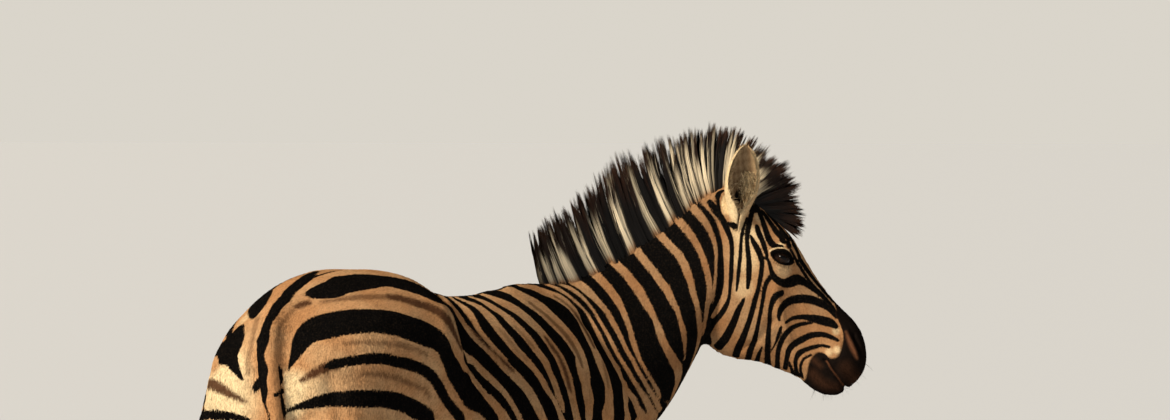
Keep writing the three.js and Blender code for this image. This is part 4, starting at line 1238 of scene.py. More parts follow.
def marks(plain):  # the coat's markings at places of the skin, with some painted shade and light among them
    s, y, z = plain.T
    left = y > 0
    bend = coatField["leftBend"]
    bends = np.stack([bend * np.sin(z * 11 + 1), 0 * y, bend * np.sin(s * 9)], 1)
    bent = plain + bends * left[:, None]
    both = folded(bent)
    ink = np.maximum(bodyInk(plain, both), faceInk(both))
    behind = left & (s < np.interp(z, *np.array(leftFrom).T))
    for (line, half), mirrored in darkLines:
        depth = depthIn(both, folded(line), half) if mirrored else depthIn(plain, line, half)
        ink = np.where(behind & mirrored, ink, np.maximum(ink, depth))
    for line, half in leftLines:
        ink = np.where(left, np.maximum(ink, depthIn(plain, line, half)), ink)
    for depth in (bandShare(bent), depthIn(plain, *spineLine), depthIn(plain, *bellyLine)):
        ink = np.maximum(ink, depth)
    onDock, rightward = dockPlace(plain)
    ink = ink + (dockInk(z, rightward) - ink) * onDock
    shade, warm = shadowOf(plain, both, behind), warmthOf(plain, both)
    a, b = headMeasure(both)
    dusk = duskOf(s, a, b)
    # painted shade darkens the front of the face
    paintedFaceShade = coatField["paintedFaceShade"] * ease(0.14, 0.34, a) * (s > 0.9) * (dusk < 0)
    # the light ground darkens toward brown along the neck, by s
    neckDarkening = np.interp(s, *np.array(coatField["neckDarkening"]).T) * (dusk < 0)
    shade = np.maximum(shade, np.maximum(paintedFaceShade, neckDarkening) * warm)
    shade, warm = shade * (1 - onDock), warm + (1 - warm) * onDock
    ink, shade, warm = markEars(both, ink, shade, warm)
    ink, warm = markLids(both, ink, warm)
    return dict(ink=ink, shade=shade, warm=warm, dusk=np.clip(dusk, -0.05, 0.05))


# the coat's colours

tint = dict(
    black=(0.0036, 0.0034, 0.0034),
    tan=(0.50, 0.250, 0.108),
    cream=(0.88, 0.68, 0.40),
    brownBlack=(0.0125, 0.0090, 0.0068),
    shadow=(0.085, 0.037, 0.018),
    muzzle=(0.0085, 0.0058, 0.0048),
    # nostril: brown for the lips, and for the lit rim behind the nostril as painted light
    nostril=(0.200, 0.080, 0.038),
    hairTip=(0.060, 0.022, 0.009),
    inkEdge=0.0011,     # half the width of a band's soft edge
    duskEdge=0.004,
    ragged=0.003,
)


def markedColour(tree):  # the coat's colour from its markings, for the skin and the short hair
    tone = noise(tree, 9, 3)
    fine = noise(tree, 260, 2)
    light = blend(tree, reading(tree, "warm"), tint["cream"], tint["tan"])
    light = blend(tree, rangeOf(tree, tone, 0.35, 0.7), light, blend(tree, 0.25, light, tint["cream"]))
    light = blend(tree, reading(tree, "shade"), light, tint["shadow"])
    light = blend(tree, rangeOf(tree, fine, 0.3, 0.8), light, blend(tree, 0.30, light, tint["shadow"]))
    ragged = maths(tree, "MULTIPLY_ADD", fine, tint["ragged"], -tint["ragged"] / 2)
    inked = maths(tree, "ADD", reading(tree, "ink"), ragged)
    inked = rangeOf(tree, inked, -tint["inkEdge"], tint["inkEdge"])
    dark = blend(tree, rangeOf(tree, fine, 0.45, 0.75), tint["black"], tint["brownBlack"])
    coloured = blend(tree, inked, light, dark)
    dusky = maths(tree, "ADD", reading(tree, "dusk"), ragged)
    dusky = rangeOf(tree, dusky, -tint["duskEdge"], tint["duskEdge"])
    # the bare muzzle turns brown where shade is set: on the lips, and as painted light on the nostril's
    # rim
    bare = blend(tree, reading(tree, "shade"), tint["muzzle"], tint["nostril"])
    return blend(tree, dusky, coloured, bare)


hideMaterial, tree, shader = newMaterial("hide", 0.60, 0.0)
feed(tree, shader, {"Base Color": markedColour(tree)})
bumped(tree, shader, noise(tree, 420, 3, (0.35, 0.35, 0.16)), 0.5, 0.0015)
skin.data.materials.append(hideMaterial)
for name, values in marks(toPlain(corners(skin))).items():
    store(skin, name, values)
pick(skin)
bpy.ops.object.shade_smooth()
print("skin marked")


# hair: solid spikes laid along the skin

random = np.random.default_rng(11)
seatOf = dict(patch=0.003, edge=0.004)   # size of a spike's patch on its bake map, and the map's margin


def hairPiece(name, hair, material, rings=1):  # one mesh of three-sided spikes from root to tip
    roots, ways, sides, facing = hair["roots"], hair["ways"], hair["sides"], hair["facing"]
    count = len(roots)
    bow = hair.get("bow", np.zeros((count, 3)))
    lengths, widths = hair["lengths"][:, None], hair["widths"][:, None]
    crest = 0.34 if rings == 1 else 0.0   # a short tuft's ridge starts ahead of its root
    points, along, across = [], [], []
    for level in np.arange(rings) / rings:
        thin = (1 - level) ** 0.7
        centre = roots + ways * lengths * level + bow * lengths * level ** 2
        ahead = level + crest
        ridge = roots + ways * lengths * ahead + bow * lengths * ahead ** 2
        points += [centre - sides * widths * 0.5 * thin, centre + sides * widths * 0.5 * thin,
                   ridge + facing * widths * 0.35 * thin]
        along += [level, level, ahead]
        across += [-0.5, 0.5, 0.0]
    points.append(roots + ways * lengths + bow * lengths)
    along.append(1.0)
    across.append(0.0)
    per, last = len(points), 3 * rings - 3
    faces = [(0, 1, 2)]
    for start in range(0, last, 3):
        for i, j in ((0, 2), (2, 1), (1, 0)):
            faces += [(start + i, start + j, start + j + 3), (start + i, start + j + 3, start + i + 3)]
    faces += [(last, last + 2, per - 1), (last + 2, last + 1, per - 1), (last + 1, last, per - 1)]
    points = np.stack(points, 1).reshape(-1, 3)
    faces = (np.arange(count)[:, None, None] * per + np.array(faces)[:, ::-1]).reshape(-1, 3)
    piece = meshPiece(name, points, faces)
    store(piece, "along", np.tile(along, count))
    for label, values in hair["marks"].items():
        store(piece, label, np.repeat(values, per))
    low, high = hair["map"].min(0), hair["map"].max(0)
    place = (1 - 2 * seatOf["edge"]) * (hair["map"] - low) / np.maximum(high - low, 1e-6)
    place = seatOf["edge"] + place
    spread = np.stack([np.array(along) - 0.5, across], 1) * seatOf["patch"]
    uv = np.clip((place[:, None, :] + spread).reshape(-1, 2), 0, 1)
    layer = piece.data.uv_layers.new(name="OFBake")
    layer.uv.foreach_set("vector", uv[faces.ravel()].astype(np.float32).ravel())
    normals = unit(facing[:, None, :] * 0.9 + np.array(across)[None, :, None] * sides[:, None, :] * 0.8
                   + ways[:, None, :] * 0.10).reshape(-1, 3)
    piece.data.polygons.foreach_set("use_smooth", np.ones(len(piece.data.polygons), bool))
    piece.data.normals_split_custom_set_from_vertices(normals)
    piece.data.materials.append(material)
    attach(piece, "root")
    print(name, count, "hairs", len(faces), "triangles")
    return piece


# the short coat

coat = dict(
    body=dict(density=66000, length=0.0105, width=0.0026, rise=0.0024),
    neck=dict(density=76000, length=0.0090, width=0.0023, rise=0.0020),
    leg=dict(density=60000, length=0.0085, width=0.0023, rise=0.0015),
    face=dict(density=150000, length=0.0062, width=0.0016, rise=0.0014),
    ear=dict(density=120000, length=0.0080, width=0.0016, rise=0.0020),
    jitter=0.16,
    lie=dict(neck=(-0.50, 0, -0.86), rump=(-0.22, 0, -0.97), leg=(-0.04, 0, -1.0)),
)


def lieWay(both):  # the lie of the coat in plain space
    s, z, b = both[:, 0], both[:, 2], headMeasure(both)[1]
    flank = ease(1.22, 1.00, z)
    way = np.stack([-1 + 0.30 * flank, 0 * s, -0.10 - 0.55 * flank], 1)
    shares = dict(
        neck=ease(0.36, 0.52, s),
        rump=ease(-0.30, -0.56, s) * ease(1.34, 1.22, z),
        leg=ease(0.86, 0.72, z) * np.maximum(ease(0.28, 0.34, s), ease(-0.22, -0.32, s)),
    )
    for part, share in shares.items():
        way = way * (1 - share[:, None]) + np.array(coat["lie"][part]) * share[:, None]
    head = ease(0.85, 0.92, s)[:, None]
    cheek = ease(-0.05, -0.13, b)[:, None]
    ahead, up = np.array([faceWay[0], 0, faceWay[1]]), np.array([browWay[0], 0, browWay[1]])
    face = ahead * (1 - 0.45 * cheek) - up * (0.12 + 0.75 * cheek)
    way = way * (1 - head) + face * head
    share, out = earPlace(both)
    onEar = (ease(0.02, 0.10, share) * (out < 1.6) * (s > 0.86))[:, None]
    return way * (1 - onEar) + earUp * onEar


skinPoints, skinNormals, skinFaces = corners(skin), cornerNormals(skin), faceCorners(skin)
p, q, r = (skinPoints[skinFaces[:, k]] for k in range(3))
skinArea = 0.5 * np.linalg.norm(np.cross(q - p, r - p), axis=1)
middles = toPlain(skinPoints[skinFaces].mean(1))
bothMiddles = folded(middles)
s, y, z = bothMiddles.T
earShare, earOut = earPlace(bothMiddles)
isEar = (earShare > 0.06) & (earOut < 1.6) & (s > 0.86)
lidRing = eyeSpot(bothMiddles)[3]
isLid = (lidRing < 1.30) & (np.linalg.norm(bothMiddles - eyeCentre, axis=1) < 0.05)
isHead = (s > 0.885) & ~isEar
isDock = dockPlace(middles)[0] > 0.5
isFore = (z < 0.80) & (s > 0.31) & ~isDock
isHind = (z < 0.74) & (s < -0.27) & ~isDock
right = middles[:, 1] < 0
areas = {"coatFace": (isHead, "face"), "coatEars": (isEar, "ear")}
for region, here, style in (("Neck", (s > 0.40) & ~isHead & ~isEar & ~isFore, "neck"),
                            ("Trunk", (s <= 0.40) & (s > -0.20) & ~isFore, "body"),
                            ("Rump", (s <= -0.20) & ~isHind & ~isDock, "body")):
    areas["coat" + region + "Right"] = here & right, style
    areas["coat" + region + "Left"] = here & ~right, style
areas |= {"coatForelegs": (isFore, "leg"), "coatHindlegs": (isHind, "leg"), "coatDock": (isDock, "leg")}


legMiddles = dict(   # s of the middle of a leg, by height
    coatForelegs=((0.08, 0.40, 0.80), (0.44, 0.41, 0.43)),
    coatHindlegs=((0.08, 0.20, 0.47, 0.61, 0.85), (-0.58, -0.62, -0.617, -0.56, -0.46)),
)


def unwrapped(name, plain):  # each region of the skin rolled out flat
    s, y, z = plain.T
    a, b = headMeasure(plain)
    side = np.where(y > 0, 1, -1)
    if name in legMiddles:
        turn = np.arctan2(np.abs(y) - 0.11, s - np.interp(z, *legMiddles[name]))
        return np.stack([z, turn / 7 + side], 1)
    if name == "coatFace":
        return np.stack([a, np.arctan2(y, b + 0.11)], 1)
    if name == "coatEars":
        share, out = earPlace(folded(plain))
        offset = folded(plain) - earBase
        turn = np.arctan2(offset @ earAcross, offset @ earOpen)
        inside = out < 0.95
        return np.stack([share + 0.02 * inside, turn / 7 + side + inside * 8], 1)
    if name == "coatDock":
        return np.stack([z, np.arctan2(y + 0.08, s + 0.68)], 1)
    return np.stack([s, np.arctan2(np.abs(y), z - (0.95 if "Neck" not in name else 1.20))], 1)


def tuftsOn(name, chosen, style):
    style = coat[style]
    places = np.flatnonzero(chosen & ~isLid)
    weight = skinArea[places]
    count = int(weight.sum() * style["density"])
    picked = np.searchsorted(np.cumsum(weight), random.random(count) * weight.sum())
    picked = places[picked.clip(0, len(places) - 1)]
    u, v = random.random(count), random.random(count)
    flip = u + v > 1
    u, v = np.where(flip, 1 - u, u), np.where(flip, 1 - v, v)
    parts = np.stack([1 - u - v, u, v], 1)[:, :, None]
    roots = (skinPoints[skinFaces[picked]] * parts).sum(1)
    normals = unit((skinNormals[skinFaces[picked]] * parts).sum(1))
    plain = toPlain(roots)
    lie = turnWay(plain, lieWay(folded(plain)))
    if name == "coatEars":
        mirror = np.where(plain[:, 1:2] > 0, [1, -1, 1], [1, 1, 1])
        lie = turnWay(plain, np.tile(earUp, (count, 1)) * mirror)
    lie = laidAlong(lie, normals)
    side = np.cross(normals, lie)
    swirl = coat["jitter"] * random.normal(size=count) + 0.10 * np.sin(plain @ [31, 17, 23])
    swirl = swirl + 0.08 * np.sin(plain @ [-67, 41, 59])
    way = lie * np.cos(swirl)[:, None] + side * np.sin(swirl)[:, None]
    clump = 1 + 0.18 * np.sin(plain @ [140, 90, -120]) * np.sin(plain @ [60, -150, 110])
    lengths = style["length"] * (0.75 + 0.5 * random.random(count)) * clump
    shownAt = toPlain(roots + way * lengths[:, None] * 0.5)   # the part that the next tufts leave open
    rise = style["rise"] * (0.35 + 0.65 * random.random(count)) / lengths
    way = unit(way + normals * rise[:, None])
    hair = dict(
        roots=roots - normals * 0.0005, ways=way, sides=unit(np.cross(normals, way)), facing=normals,
        lengths=lengths, widths=style["width"] * (0.8 + 0.4 * random.random(count)),
        marks={**marks(shownAt), "tone": random.random(count)}, map=unwrapped(name, plain),
    )
    piece = hairPiece(name, hair, coatMaterial)


coatMaterial, tree, shader = newMaterial("coat", 0.80, 0.0)
hairColour(tree, shader, markedColour(tree), (0.74, 1.22), (0.82, 1.10), 0.8)

for name, (chosen, style) in areas.items():
    tuftsOn(name, chosen, style)
print("coat laid")


# mane, forelock and tail

mane = dict(
    locks=58,        # thick locks along the crest, each of strands of blades that draw to a point
    strands=8,
    blades=26,
    width=0.0024,
    lockSpread=0.0082,
    strandSpread=0.0026,
    drawIn=0.58,
    lean=0.060,
    bend=0.16,       # how far the hair starts further back than it ends
    reach=(1.02, 1.13),
    uneven=0.05,
    crowd=0.9,       # how much denser it stands by the ears
    colours=dict(light=(0.80, 0.67, 0.47), dark=(0.0045, 0.0032, 0.0028), tip=(0.018, 0.0075, 0.0040)),
    # s and z of the roots, s and z of the tips, half thickness, and where the tips turn dark
    stations=[(0.412, 1.297, 0.374, 1.398, 0.010, 0.50), (0.440, 1.300, 0.388, 1.414, 0.012, 0.50),
              (0.500, 1.309, 0.420, 1.441, 0.013, 0.55), (0.550, 1.325, 0.462, 1.462, 0.013, 0.60),
              (0.620, 1.353, 0.537, 1.512, 0.013, 0.66), (0.670, 1.381, 0.595, 1.560, 0.013, 0.72),
              (0.733, 1.418, 0.642, 1.594, 0.013, 0.76), (0.786, 1.453, 0.716, 1.618, 0.013, 0.80),
              (0.820, 1.479, 0.762, 1.636, 0.013, 0.82), (0.852, 1.502, 0.817, 1.652, 0.013, 0.84),
              (0.880, 1.516, 0.882, 1.661, 0.014, 0.84), (0.905, 1.524, 0.936, 1.650, 0.015, 0.80),
              (0.926, 1.528, 0.984, 1.630, 0.016, 0.80)],
)
forelock = dict(
    locks=30,
    strands=9,
    blades=16,
    width=0.0021,
    lockSpread=0.0105,
    strandSpread=0.0030,
    drawIn=0.72,
    lean=0.080,
    bend=0.05,
    reach=(0.95, 1.09),
    uneven=0.10,
    crowd=0.0,
    stations=[(0.926, 1.528, 0.984, 1.630, 0.016, 0.60), (0.940, 1.518, 1.028, 1.604, 0.017, 0.52),
              (0.953, 1.507, 1.064, 1.569, 0.017, 0.50), (0.966, 1.494, 1.086, 1.529, 0.016, 0.50),
              (0.979, 1.480, 1.093, 1.480, 0.015, 0.50), (0.992, 1.465, 1.100, 1.440, 0.013, 0.50),
              (1.004, 1.450, 1.098, 1.408, 0.011, 0.50), (1.013, 1.438, 1.086, 1.388, 0.009, 0.50)],
)
tailHair = dict(
    clumps=150,
    blades=18,
    width=0.0030,
    path=[(-0.702, -0.112, 0.900), (-0.702, -0.113, 0.830), (-0.702, -0.114, 0.760),
          (-0.702, -0.115, 0.670), (-0.700, -0.116, 0.580), (-0.698, -0.116, 0.500),
          (-0.696, -0.116, 0.440)],
    radii=[0.016, 0.021, 0.028, 0.031, 0.027, 0.019, 0.006],
    colours=dict(light=(0.30, 0.16, 0.075), dark=(0.0060, 0.0042, 0.0034), tip=(0.006, 0.004, 0.003)),
)


def longHairMaterial(name, light, dark, tip):
    material, tree, shader = newMaterial(name, 0.50, 0.20)
    inked = rangeOf(tree, reading(tree, "ink"), -0.003, 0.003)
    pale = blend(tree, rangeOf(tree, reading(tree, "along"), 0.02, 0.16), tint["tan"], light)
    coloured = blend(tree, inked, pale, dark)
    sooty = maths(tree, "SUBTRACT", reading(tree, "along"), reading(tree, "sooty"))
    coloured = blend(tree, rangeOf(tree, sooty, -0.16, 0.12), coloured, tip)
    fringe = maths(tree, "MULTIPLY", rangeOf(tree, reading(tree, "along"), 0.78, 1.0), 0.75)
    coloured = blend(tree, fringe, coloured, tint["hairTip"])
    hairColour(tree, shader, coloured, (0.60, 1.35), (0.55, 1.0), 0.35)
    return material


maneMaterial = longHairMaterial("maneHair", **mane["colours"])
tailMaterial = longHairMaterial("tailHair", **tailHair["colours"])


def crestInk(rootS, rootZ):  # the black of the neck's bands where they run up into the mane
    levels = np.linspace(0.39, 1.03, 240)
    beside = np.stack([levels, np.full(240, -0.030), np.interp(levels, rootS, rootZ) - 0.012], 1)
    return levels, marks(onSkin(beside))["ink"]


def onCrest(s, y, z):  # straight down to the skin, or z where nothing lies below
    above = toWorld(np.stack([s, y, z + 0.12], 1))
    hits = [skinTree.ray_cast(Vector(place), Vector((0, 0, -1)), 0.22)[0] for place in above]
    return np.array([hit.z if hit else level - 0.006 for hit, level in zip(hits, z)])


def crestSteps(style):  # rows of the stations' table, and how far along the crest each stands
    rows = curveThrough(style["stations"], 12)
    rootStep = np.linalg.norm(np.diff(rows[:, :2], axis=0), axis=1)
    tipStep = np.linalg.norm(np.diff(rows[:, 2:4], axis=0), axis=1)
    stretch = (tipStep + rootStep) * (1 + style["crowd"] * ease(0.84, 0.89, rows[1:, 0]))
    steps = np.concatenate([[0], np.cumsum(stretch)])
    return rows, steps, steps[-1] / rootStep.sum()


def standingHair(name, style, part):  # locks of strands of blades along the crest
    rows, steps, scale = crestSteps(style)
    locks, strands, per = style["locks"], style["strands"], style["blades"]
    count = locks * strands
    total = count * per
    lock, strand = np.repeat(np.arange(locks), strands), np.repeat(np.arange(count), per)
    lockAt = (np.arange(locks) + 0.5 + 0.35 * random.uniform(-1, 1, locks)) / locks * steps[-1]
    offset = random.uniform(-1, 1, count)          # of a strand's root in its lock, along the crest
    strandAt = lockAt[lock] + offset * style["lockSpread"] * scale
    lockSide = random.uniform(-0.6, 0.6, locks)
    strandSide = np.clip(lockSide[lock] + 0.45 * random.normal(size=count), -1, 1)
    drawn = strandAt + (lockAt[lock] - strandAt) * style["drawIn"] * random.uniform(0.6, 1.2, count)
    at = strandAt[strand] + random.normal(size=total) * style["strandSpread"] * scale
    at = np.clip(at, 0, steps[-1])
    goal = np.clip(drawn[strand] + (at - strandAt[strand]) * 0.10, 0, steps[-1])
    row, aim = rowsAt(at, steps, rows), rowsAt(goal, steps, rows)
    side = np.clip(strandSide[strand] + random.normal(size=total) * 0.16, -1, 1)
    across = side * row[:, 4]
    sunk = 0.003 + 0.005 * random.random(total)
    root = np.stack([row[:, 0], across, onCrest(row[:, 0], across, row[:, 1]) - sunk], 1)
    lockReach = random.uniform(*style["reach"], locks)
    short = 0.24 * np.abs(offset) ** 1.5
    strandReach = lockReach[lock] * (1 - short - style["uneven"] * random.random(count))
    reach = strandReach[strand] * (1 - 0.10 * random.random(total) ** 2) * (1 - 0.04 * side ** 2)
    lean = (random.normal(size=locks) * style["lean"])[lock] * 0.6
    lean = lean + random.normal(size=count) * style["lean"] * 0.5
    lean = lean[strand] + random.normal(size=total) * 0.010
    tipSide = strandSide[strand] * 0.009 + random.normal(size=total) * 0.0010

    def tipFor(goals):
        grow = goals[:, 2:4] - row[:, 0:2]
        forward = (grow[:, 0] + grow[:, 1] * lean) * reach
        upward = (grow[:, 1] - grow[:, 0] * lean) * reach
        return np.stack([row[:, 0] + forward, tipSide, row[:, 1] + upward], 1)

    straight = tipFor(row)
    rootWorld, tipWorld, drawnTip = toWorld(root), toWorld(straight), toWorld(tipFor(aim))
    chord = unit(straight - root)
    bend = style["bend"]
    bow = turnWay(root, np.stack([chord[:, 2] * bend, -0.06 * side, -chord[:, 0] * bend], 1))
    lengths = np.linalg.norm(tipWorld - rootWorld, axis=1)
    way = (tipWorld - rootWorld) / lengths[:, None]
    start = unit(way - bow)
    # the blades of a lock only close up towards its tip
    inward = (drawnTip - tipWorld) / lengths[:, None]
    facing = turnWay(root, np.stack([0 * side, np.sign(side + 1e-6), 0 * side], 1))
    facing = laidAlong(facing, start)
    levels, inks = crestInk(rows[:, 0], rows[:, 1])
    ink = np.interp(row[:, 0] + (random.normal(size=count) * 0.0035)[strand], levels, inks)
    hair = dict(
        roots=rootWorld, ways=way - bow, bow=bow + inward, sides=unit(np.cross(facing, start)),
        facing=facing, lengths=lengths, widths=style["width"] * (0.7 + 0.6 * random.random(total)),
        marks=dict(ink=ink, tone=np.clip(0.5 + 0.22 * random.normal(size=count)[strand]
                                         + 0.2 * random.normal(size=total), 0, 1),
                   sooty=row[:, 5] + (random.normal(size=count) * 0.13)[strand]
                   + random.normal(size=total) * 0.03),
        map=np.stack([row[:, 0], side], 1),
    )
    piece = hairPiece(name, hair, maneMaterial, 3)
    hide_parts(part)


def hangingTail():  # clumps of blades that start inside the tuft and hang down round its axis
    path = curveThrough(np.hstack([tailHair["path"], np.array(tailHair["radii"])[:, None]]), 6)
    count, per = tailHair["clumps"], tailHair["blades"]
    total = count * per
    clump = np.repeat(np.arange(count), per)
    start = random.random(count) ** 1.3 * 0.62
    turn = random.uniform(0, 2 * math.pi, count)
    out = np.sqrt(random.random(count))
    span = np.clip(0.28 + 0.34 * random.random(count), 0, 1 - start)
    share = np.linspace(0, 1, len(path))
    begin = (start[clump] + random.normal(size=total) * 0.01).clip(0, 0.95)
    end = (start + span)[clump] * (1 - 0.06 * random.random(total))
    end = np.clip(end, begin + 0.05, 1)
    angle = turn[clump] + random.normal(size=total) * 0.16
    outward = np.stack([np.cos(angle), np.sin(angle), 0 * angle], 1)
    wide = np.clip(out[clump] + random.normal(size=total) * 0.06, 0, 1)

    def place(level, reach):
        row = rowsAt(level, share, path)
        return row[:, :3] + outward * (row[:, 3] * reach)[:, None]

    root, tip = place(begin, wide * 0.55), place(end, wide * 0.92)
    middle = place((begin + end) / 2, wide)
    bow = (root + tip - 2 * middle) * 2
    way = tip - root - bow
    lengths = np.linalg.norm(tip - root, axis=1)
    turnedWay, turnedBow, facing = (turnWay(root, ways) for ways in (way, bow, outward))
    hair = dict(
        roots=toWorld(root), ways=turnedWay / lengths[:, None], bow=turnedBow / lengths[:, None],
        sides=unit(np.cross(facing, unit(turnedWay))), facing=facing, lengths=lengths,
        widths=tailHair["width"] * (0.7 + 0.6 * random.random(total)),
        marks=dict(ink=np.where(begin < 0.12, -0.004, 0.02) + 0.01 * random.normal(size=total),
                   tone=random.random(total), sooty=np.full(total, 0.7)),
        map=np.stack([begin, angle % (2 * math.pi)], 1),
    )
    piece = hairPiece("tailTuft", hair, tailMaterial, 4)
    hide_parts("tail_tuft")


standingHair("maneHair", mane, "mane")
standingHair("forelockHair", forelock, "forelock")
hangingTail()


# eyes

eyes = dict(
    around=64,
    rings=40,
    cornea=0.0135,
    corneaRise=0.0014,
    iris=0.0128,
    pupil=(0.0086, 0.0044),    # half length along the lids, half height
    irisColours=((0.009, 0.0042, 0.0022), (0.020, 0.0088, 0.0040)),
    rimColour=(0.012, 0.0065, 0.0045),
    pupilColour=(0.0012, 0.0012, 0.0016),
)

eyeMaterial, tree, shader = newMaterial("eye", 0.16, 0.10)
irisColour = blend(tree, rangeOf(tree, noise(tree, 900, 2), 0.3, 0.7), *eyes["irisColours"])
isIris = rangeOf(tree, reading(tree, "iris"), -0.0012, 0.0008)
isPupil = rangeOf(tree, reading(tree, "pupil"), -0.06, 0.06)
eyeColour = blend(tree, isIris, eyes["rimColour"], irisColour)
eyeColour = blend(tree, isPupil, eyeColour, eyes["pupilColour"])
feed(tree, shader, {"Base Color": eyeColour, "Coat Weight": 0.08, "Coat Roughness": 0.05})


def eyeball(name, part, side):
    deselect()
    bpy.ops.mesh.primitive_uv_sphere_add(segments=eyes["around"], ring_count=eyes["rings"],
                                         radius=build["eyeRadius"] - 0.0003)
    ball = bpy.context.active_object
    ball.name = name
    along, above, out = corners(ball).T
    spread = np.hypot(along, above)
    front = out > 0
    bulge = np.maximum(1 - (spread / eyes["cornea"]) ** 2, 0) ** 1.5
    out = out + eyes["corneaRise"] * bulge * front
    store(ball, "iris", np.where(front, eyes["iris"] - spread, -0.01))
    long, high = eyes["pupil"]
    store(ball, "pupil", np.where(front, 1 - np.hypot(along / long, above / high), -1))
    points = byEye(along, above, out)
    points[:, 1] *= side
    setCorners(ball, toWorld(points))
    editAll(ball, bpy.ops.mesh.normals_make_consistent, inside=False)
    bpy.ops.object.shade_smooth()
    ball.data.materials.append(eyeMaterial)
    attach(ball, "root")
    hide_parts(part)


eyeball("eyeRight", "eye_right", 1)
eyeball("eyeLeft", "eye_left", -1)
print("eyes set")


# hooves

hoof = dict(
    voxel=0.0026,
    flat=0.004,          # the sole's edge stays sharp up to here
    rings=17,
    ringDepth=0.00045,
    hornColours=((0.030, 0.025, 0.021), (0.105, 0.084, 0.064)),
    bandColour=(0.155, 0.120, 0.088),
    wornColour=(0.190, 0.158, 0.118),
)

hoofMaterial, tree, shader = newMaterial("hoof", 0.46, 0.4)
streaks = noise(tree, 60, 3, (5.0, 5.0, 0.35))
bands = noise(tree, 40, 2, (0.3, 0.3, 4.5))
horn = blend(tree, rangeOf(tree, streaks, 0.3, 0.75), *hoof["hornColours"])
banded = blend(tree, 0.45, horn, hoof["bandColour"])
horn = blend(tree, rangeOf(tree, bands, 0.45, 0.7), horn, banded)
feed(tree, shader, {"Base Color": blend(tree, reading(tree, "worn"), horn, hoof["wornColour"])})
bumped(tree, shader, streaks, 0.45, 0.0012)


def hoofPiece(name, part):
    low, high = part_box(part)
    piece = copyOf([part], name)
    voxelled(piece, hoof["voxel"])
    height = corners(piece)[:, 2] - low.z
    relax(piece, 8, ease(hoof["flat"] * 0.5, hoof["flat"] * 1.5, height), keep=False)
    points, normals = corners(piece), cornerNormals(piece)
    share = (points[:, 2] - low.z) / (high.z - low.z)
    wall = ease(0.75, 0.3, np.abs(normals[:, 2])) * ease(0.02, 0.10, share)
    growth = hoof["ringDepth"] * np.sin(share * hoof["rings"] * 2 * math.pi + 2 * points[:, 0] * 40)
    points = points + normals * ((growth - hoof["ringDepth"]) * wall)[:, None]
    points[:, 2] = np.maximum(points[:, 2], low.z)
    setCorners(piece, points)
    store(piece, "worn", ease(0.12, 0.0, share) * 0.8)
    pick(piece)
    bpy.ops.object.shade_smooth_by_angle(angle=math.radians(40))
    piece.data.materials.append(hoofMaterial)
    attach(piece, "root")
    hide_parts(part)


hoofNodes = [f"hoof_{end}_{side}" for end in ("front", "hind") for side in ("left", "right")]
for part in hoofNodes:
    end, side = part.split("_")[1:]
    hoofPiece(f"hoof{end.title()}{side.title()}", part)
print("hooves made")


# longer hair: lashes, ears, whiskers, and over the hooves

def wisps(name, slot, roots, ways, facing, style, tone, mirrored=True, **marked):  # in plain space
    count = len(roots)
    both, sides = [], (1, -1) if mirrored else (1,)
    for side in sides:
        flip = np.array([1, side, 1])
        both.append((roots * flip, ways * flip, facing * flip))
    root, way, face = (np.vstack(parts) for parts in zip(*both))
    world = toWorld(root)
    way = unit(turnWay(root, way) + random.normal(size=root.shape) * style["spread"])
    face = laidAlong(turnWay(root, face), way)
    total = len(sides) * count
    curl = style["curl"] * np.tile((0, 0, 1.0), (total, 1))
    values = dict(ink=-0.02, shade=0.0, warm=0.0, dusk=-0.05) | marked
    for label, value in values.items():
        values[label] = np.tile(np.broadcast_to(value, count), len(sides))
    values["tone"] = np.clip(tone + 0.2 * random.normal(size=total), 0, 1)
    values["sooty"] = np.full(total, 1.5)
    hair = dict(
        roots=world, ways=way, sides=unit(np.cross(face, way)), facing=face, bow=curl,
        lengths=style["length"] * random.uniform(0.6, 1.1, total),
        widths=style["width"] * random.uniform(0.8, 1.2, total), marks=values,
        map=np.stack([root[:, 0] + root[:, 2], np.where(root[:, 1] > 0, 1, 0) * 0.5 + root[:, 1]], 1),
    )
    piece = hairPiece(name, hair, coatMaterial, style.get("rings", 3))


lashes = dict(count=230, length=0.019, width=0.0010, spread=0.10, curl=-0.30, edge=1.03)


def lidEdge(turns):  # places on the lids' edge, by the angle from the front corner
    along, above = np.cos(turns), np.sin(turns)
    half = np.where(above > 0, lids["above"], lids["below"])
    grow = lashes["edge"] / (np.abs(along) ** 1.7 + np.abs(above) ** 1.7) ** (1 / 1.7)
    along, above = along * grow * lids["length"], above * grow * half
    outside = build["eyeRadius"] + lids["rim"]
    out = np.sqrt(np.maximum(outside ** 2 - along ** 2 - above ** 2, 0.00002))
    return along, above, out


def eyelashes():
    turns = np.concatenate([random.uniform(0.25, 2.8, lashes["count"]),
                            random.uniform(-2.4, -0.6, lashes["count"] // 12)])
    along, above, out = lidEdge(turns)
    roots = byEye(along, above, out - 0.0008)
    fan = along / lids["length"]
    upper = (above > 0)[:, None]
    ways = np.where(upper, 0.9 * eyeOut + 0.60 * fan[:, None] * eyeLong - 0.45 * eyeHigh,
                    0.6 * eyeOut + 0.4 * fan[:, None] * eyeLong - 0.8 * eyeHigh)
    facing = np.tile(eyeHigh, (len(turns), 1))
    wisps("eyelashes", "coat", roots, unit(ways), facing, lashes, 0.2, ink=0.02)


eyelashes()

earFringe = dict(count=620, length=0.020, width=0.0013, spread=0.20, curl=-0.12)
earCurls = dict(count=420, length=0.019, width=0.0013, spread=0.50, curl=-1.10, rings=4)


def earInside(share, turn):  # a place on the ear's inner wall; turn is 0 at its back
    width, deep = (size - ear["wall"] for size in earSize(share)[:2])
    return (earBase + np.outer(share * earLength, earUp) + np.outer(width * np.sin(turn), earAcross)
            - np.outer(deep * np.cos(turn), earOpen))


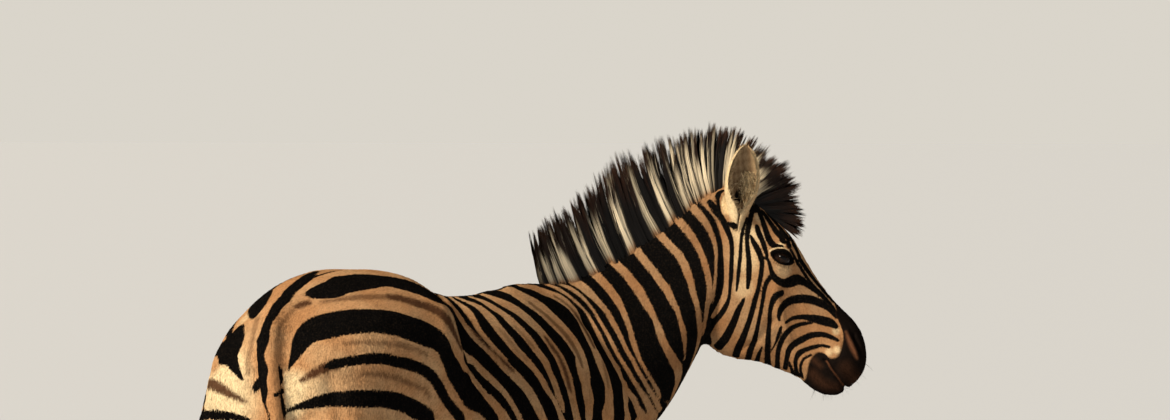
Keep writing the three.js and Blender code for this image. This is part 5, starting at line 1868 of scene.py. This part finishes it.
def earHair():
    share = 0.08 + 0.85 * random.random(earFringe["count"]) ** 1.3
    edge = np.radians(180 - earSize(share)[2])
    sign = np.where(random.random(len(share)) < 0.75, 1, -1)
    turn = sign * (edge - np.radians(random.uniform(0, 14, len(share))))
    roots = earInside(share, turn)
    roots = roots + earOpen * 0.002 - np.outer(sign * 0.002, earAcross)
    ways = 0.70 * earUp + 0.90 * earOpen - np.outer(sign * (0.30 - 0.25 * share), earAcross)
    facing = np.tile(earOpen, (len(share), 1))
    shade = np.where(sign > 0, 0.0, 0.6)
    wisps("earFringe", "ear_hair", roots, unit(ways), facing, earFringe, 0.55, shade=shade)
    share = 0.28 + 0.36 * random.random(earCurls["count"])
    turn = np.clip(random.normal(size=len(share)) * 0.26 + 0.62 - 0.5 * (share - 0.45), -0.2, 1.4)
    roots = earInside(share, turn) + earOpen * 0.005
    swing = random.uniform(-0.9, 0.9, len(share))
    ways = 0.65 * earUp + 0.75 * earOpen - np.outer(np.sin(turn) * 0.3 + swing, earAcross)
    facing = np.tile(earOpen, (len(share), 1))
    shade = random.choice([0.0, 0.0, 0.0, 0.0, 0.4], len(share))
    wisps("earCurls", "ear_hair", roots, unit(ways), facing, earCurls, 1.0, shade=shade)


earHair()

whisker = dict(
    count=90, length=0.034, width=0.0005, spread=0.25, curl=-0.10,
    near=[(828, 388), (820, 382), (836, 386), (850, 376), (856, 370), (843, 368), (815, 372)],
)


def whiskers():
    near = whisker["near"]
    spots = np.repeat(near, math.ceil(whisker["count"] / len(near)), 0) + 0.0
    spots += random.normal(size=spots.shape) * 4.0
    places = known(seenOn(spots))[0]
    normals = np.array([skinTree.find_nearest(Vector(place))[1] for place in toWorld(places)])
    back = turnWay(places, normals, -1)
    ways = unit(back + np.array([0.35, 0, -0.55]))
    side = unit(np.cross(back, ways) + 1e-6)
    wisps("whiskers", "coat", places, ways, side, whisker, 0.2, ink=0.02)


whiskers()

coronet = dict(count=420, length=0.017, width=0.0016, spread=0.10, curl=0.0)


def hoofHair():  # short hair over the tops of the hooves
    roots, ways, facing = [], [], []
    for part in hoofNodes:
        low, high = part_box(part)
        middle = np.array([(low.x + high.x) / 2 - 0.012, (low.y + high.y) / 2])
        turn = random.uniform(0, 2 * math.pi, coronet["count"])
        out = np.stack([np.cos(turn), np.sin(turn)], 1)
        height = high.z + random.uniform(0.004, 0.016, coronet["count"])
        start = np.column_stack([middle + out * 0.12, height])
        hits = [skinTree.ray_cast(Vector(p), Vector((*-o, 0)), 0.12) for p, o in zip(start, out)]
        good = [i for i, hit in enumerate(hits) if hit[0] is not None]
        found = np.array([hits[i][0] for i in good])
        roots.append(toPlain(found))
        outward = np.column_stack([out[good], np.zeros(len(good))])
        ways.append(unit(outward * 0.42 + [0, 0, -1.0]))
        facing.append(outward)
    roots = np.vstack(roots)
    ways, facing = (turnWay(roots, np.vstack(field), -1) for field in (ways, facing))
    wisps("coronetHair", "coat", roots, ways, facing, coronet, 0.4, mirrored=False, ink=0.02)


hoofHair()

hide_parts(*fleshNodes, *earNodes)
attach(skin, "root")
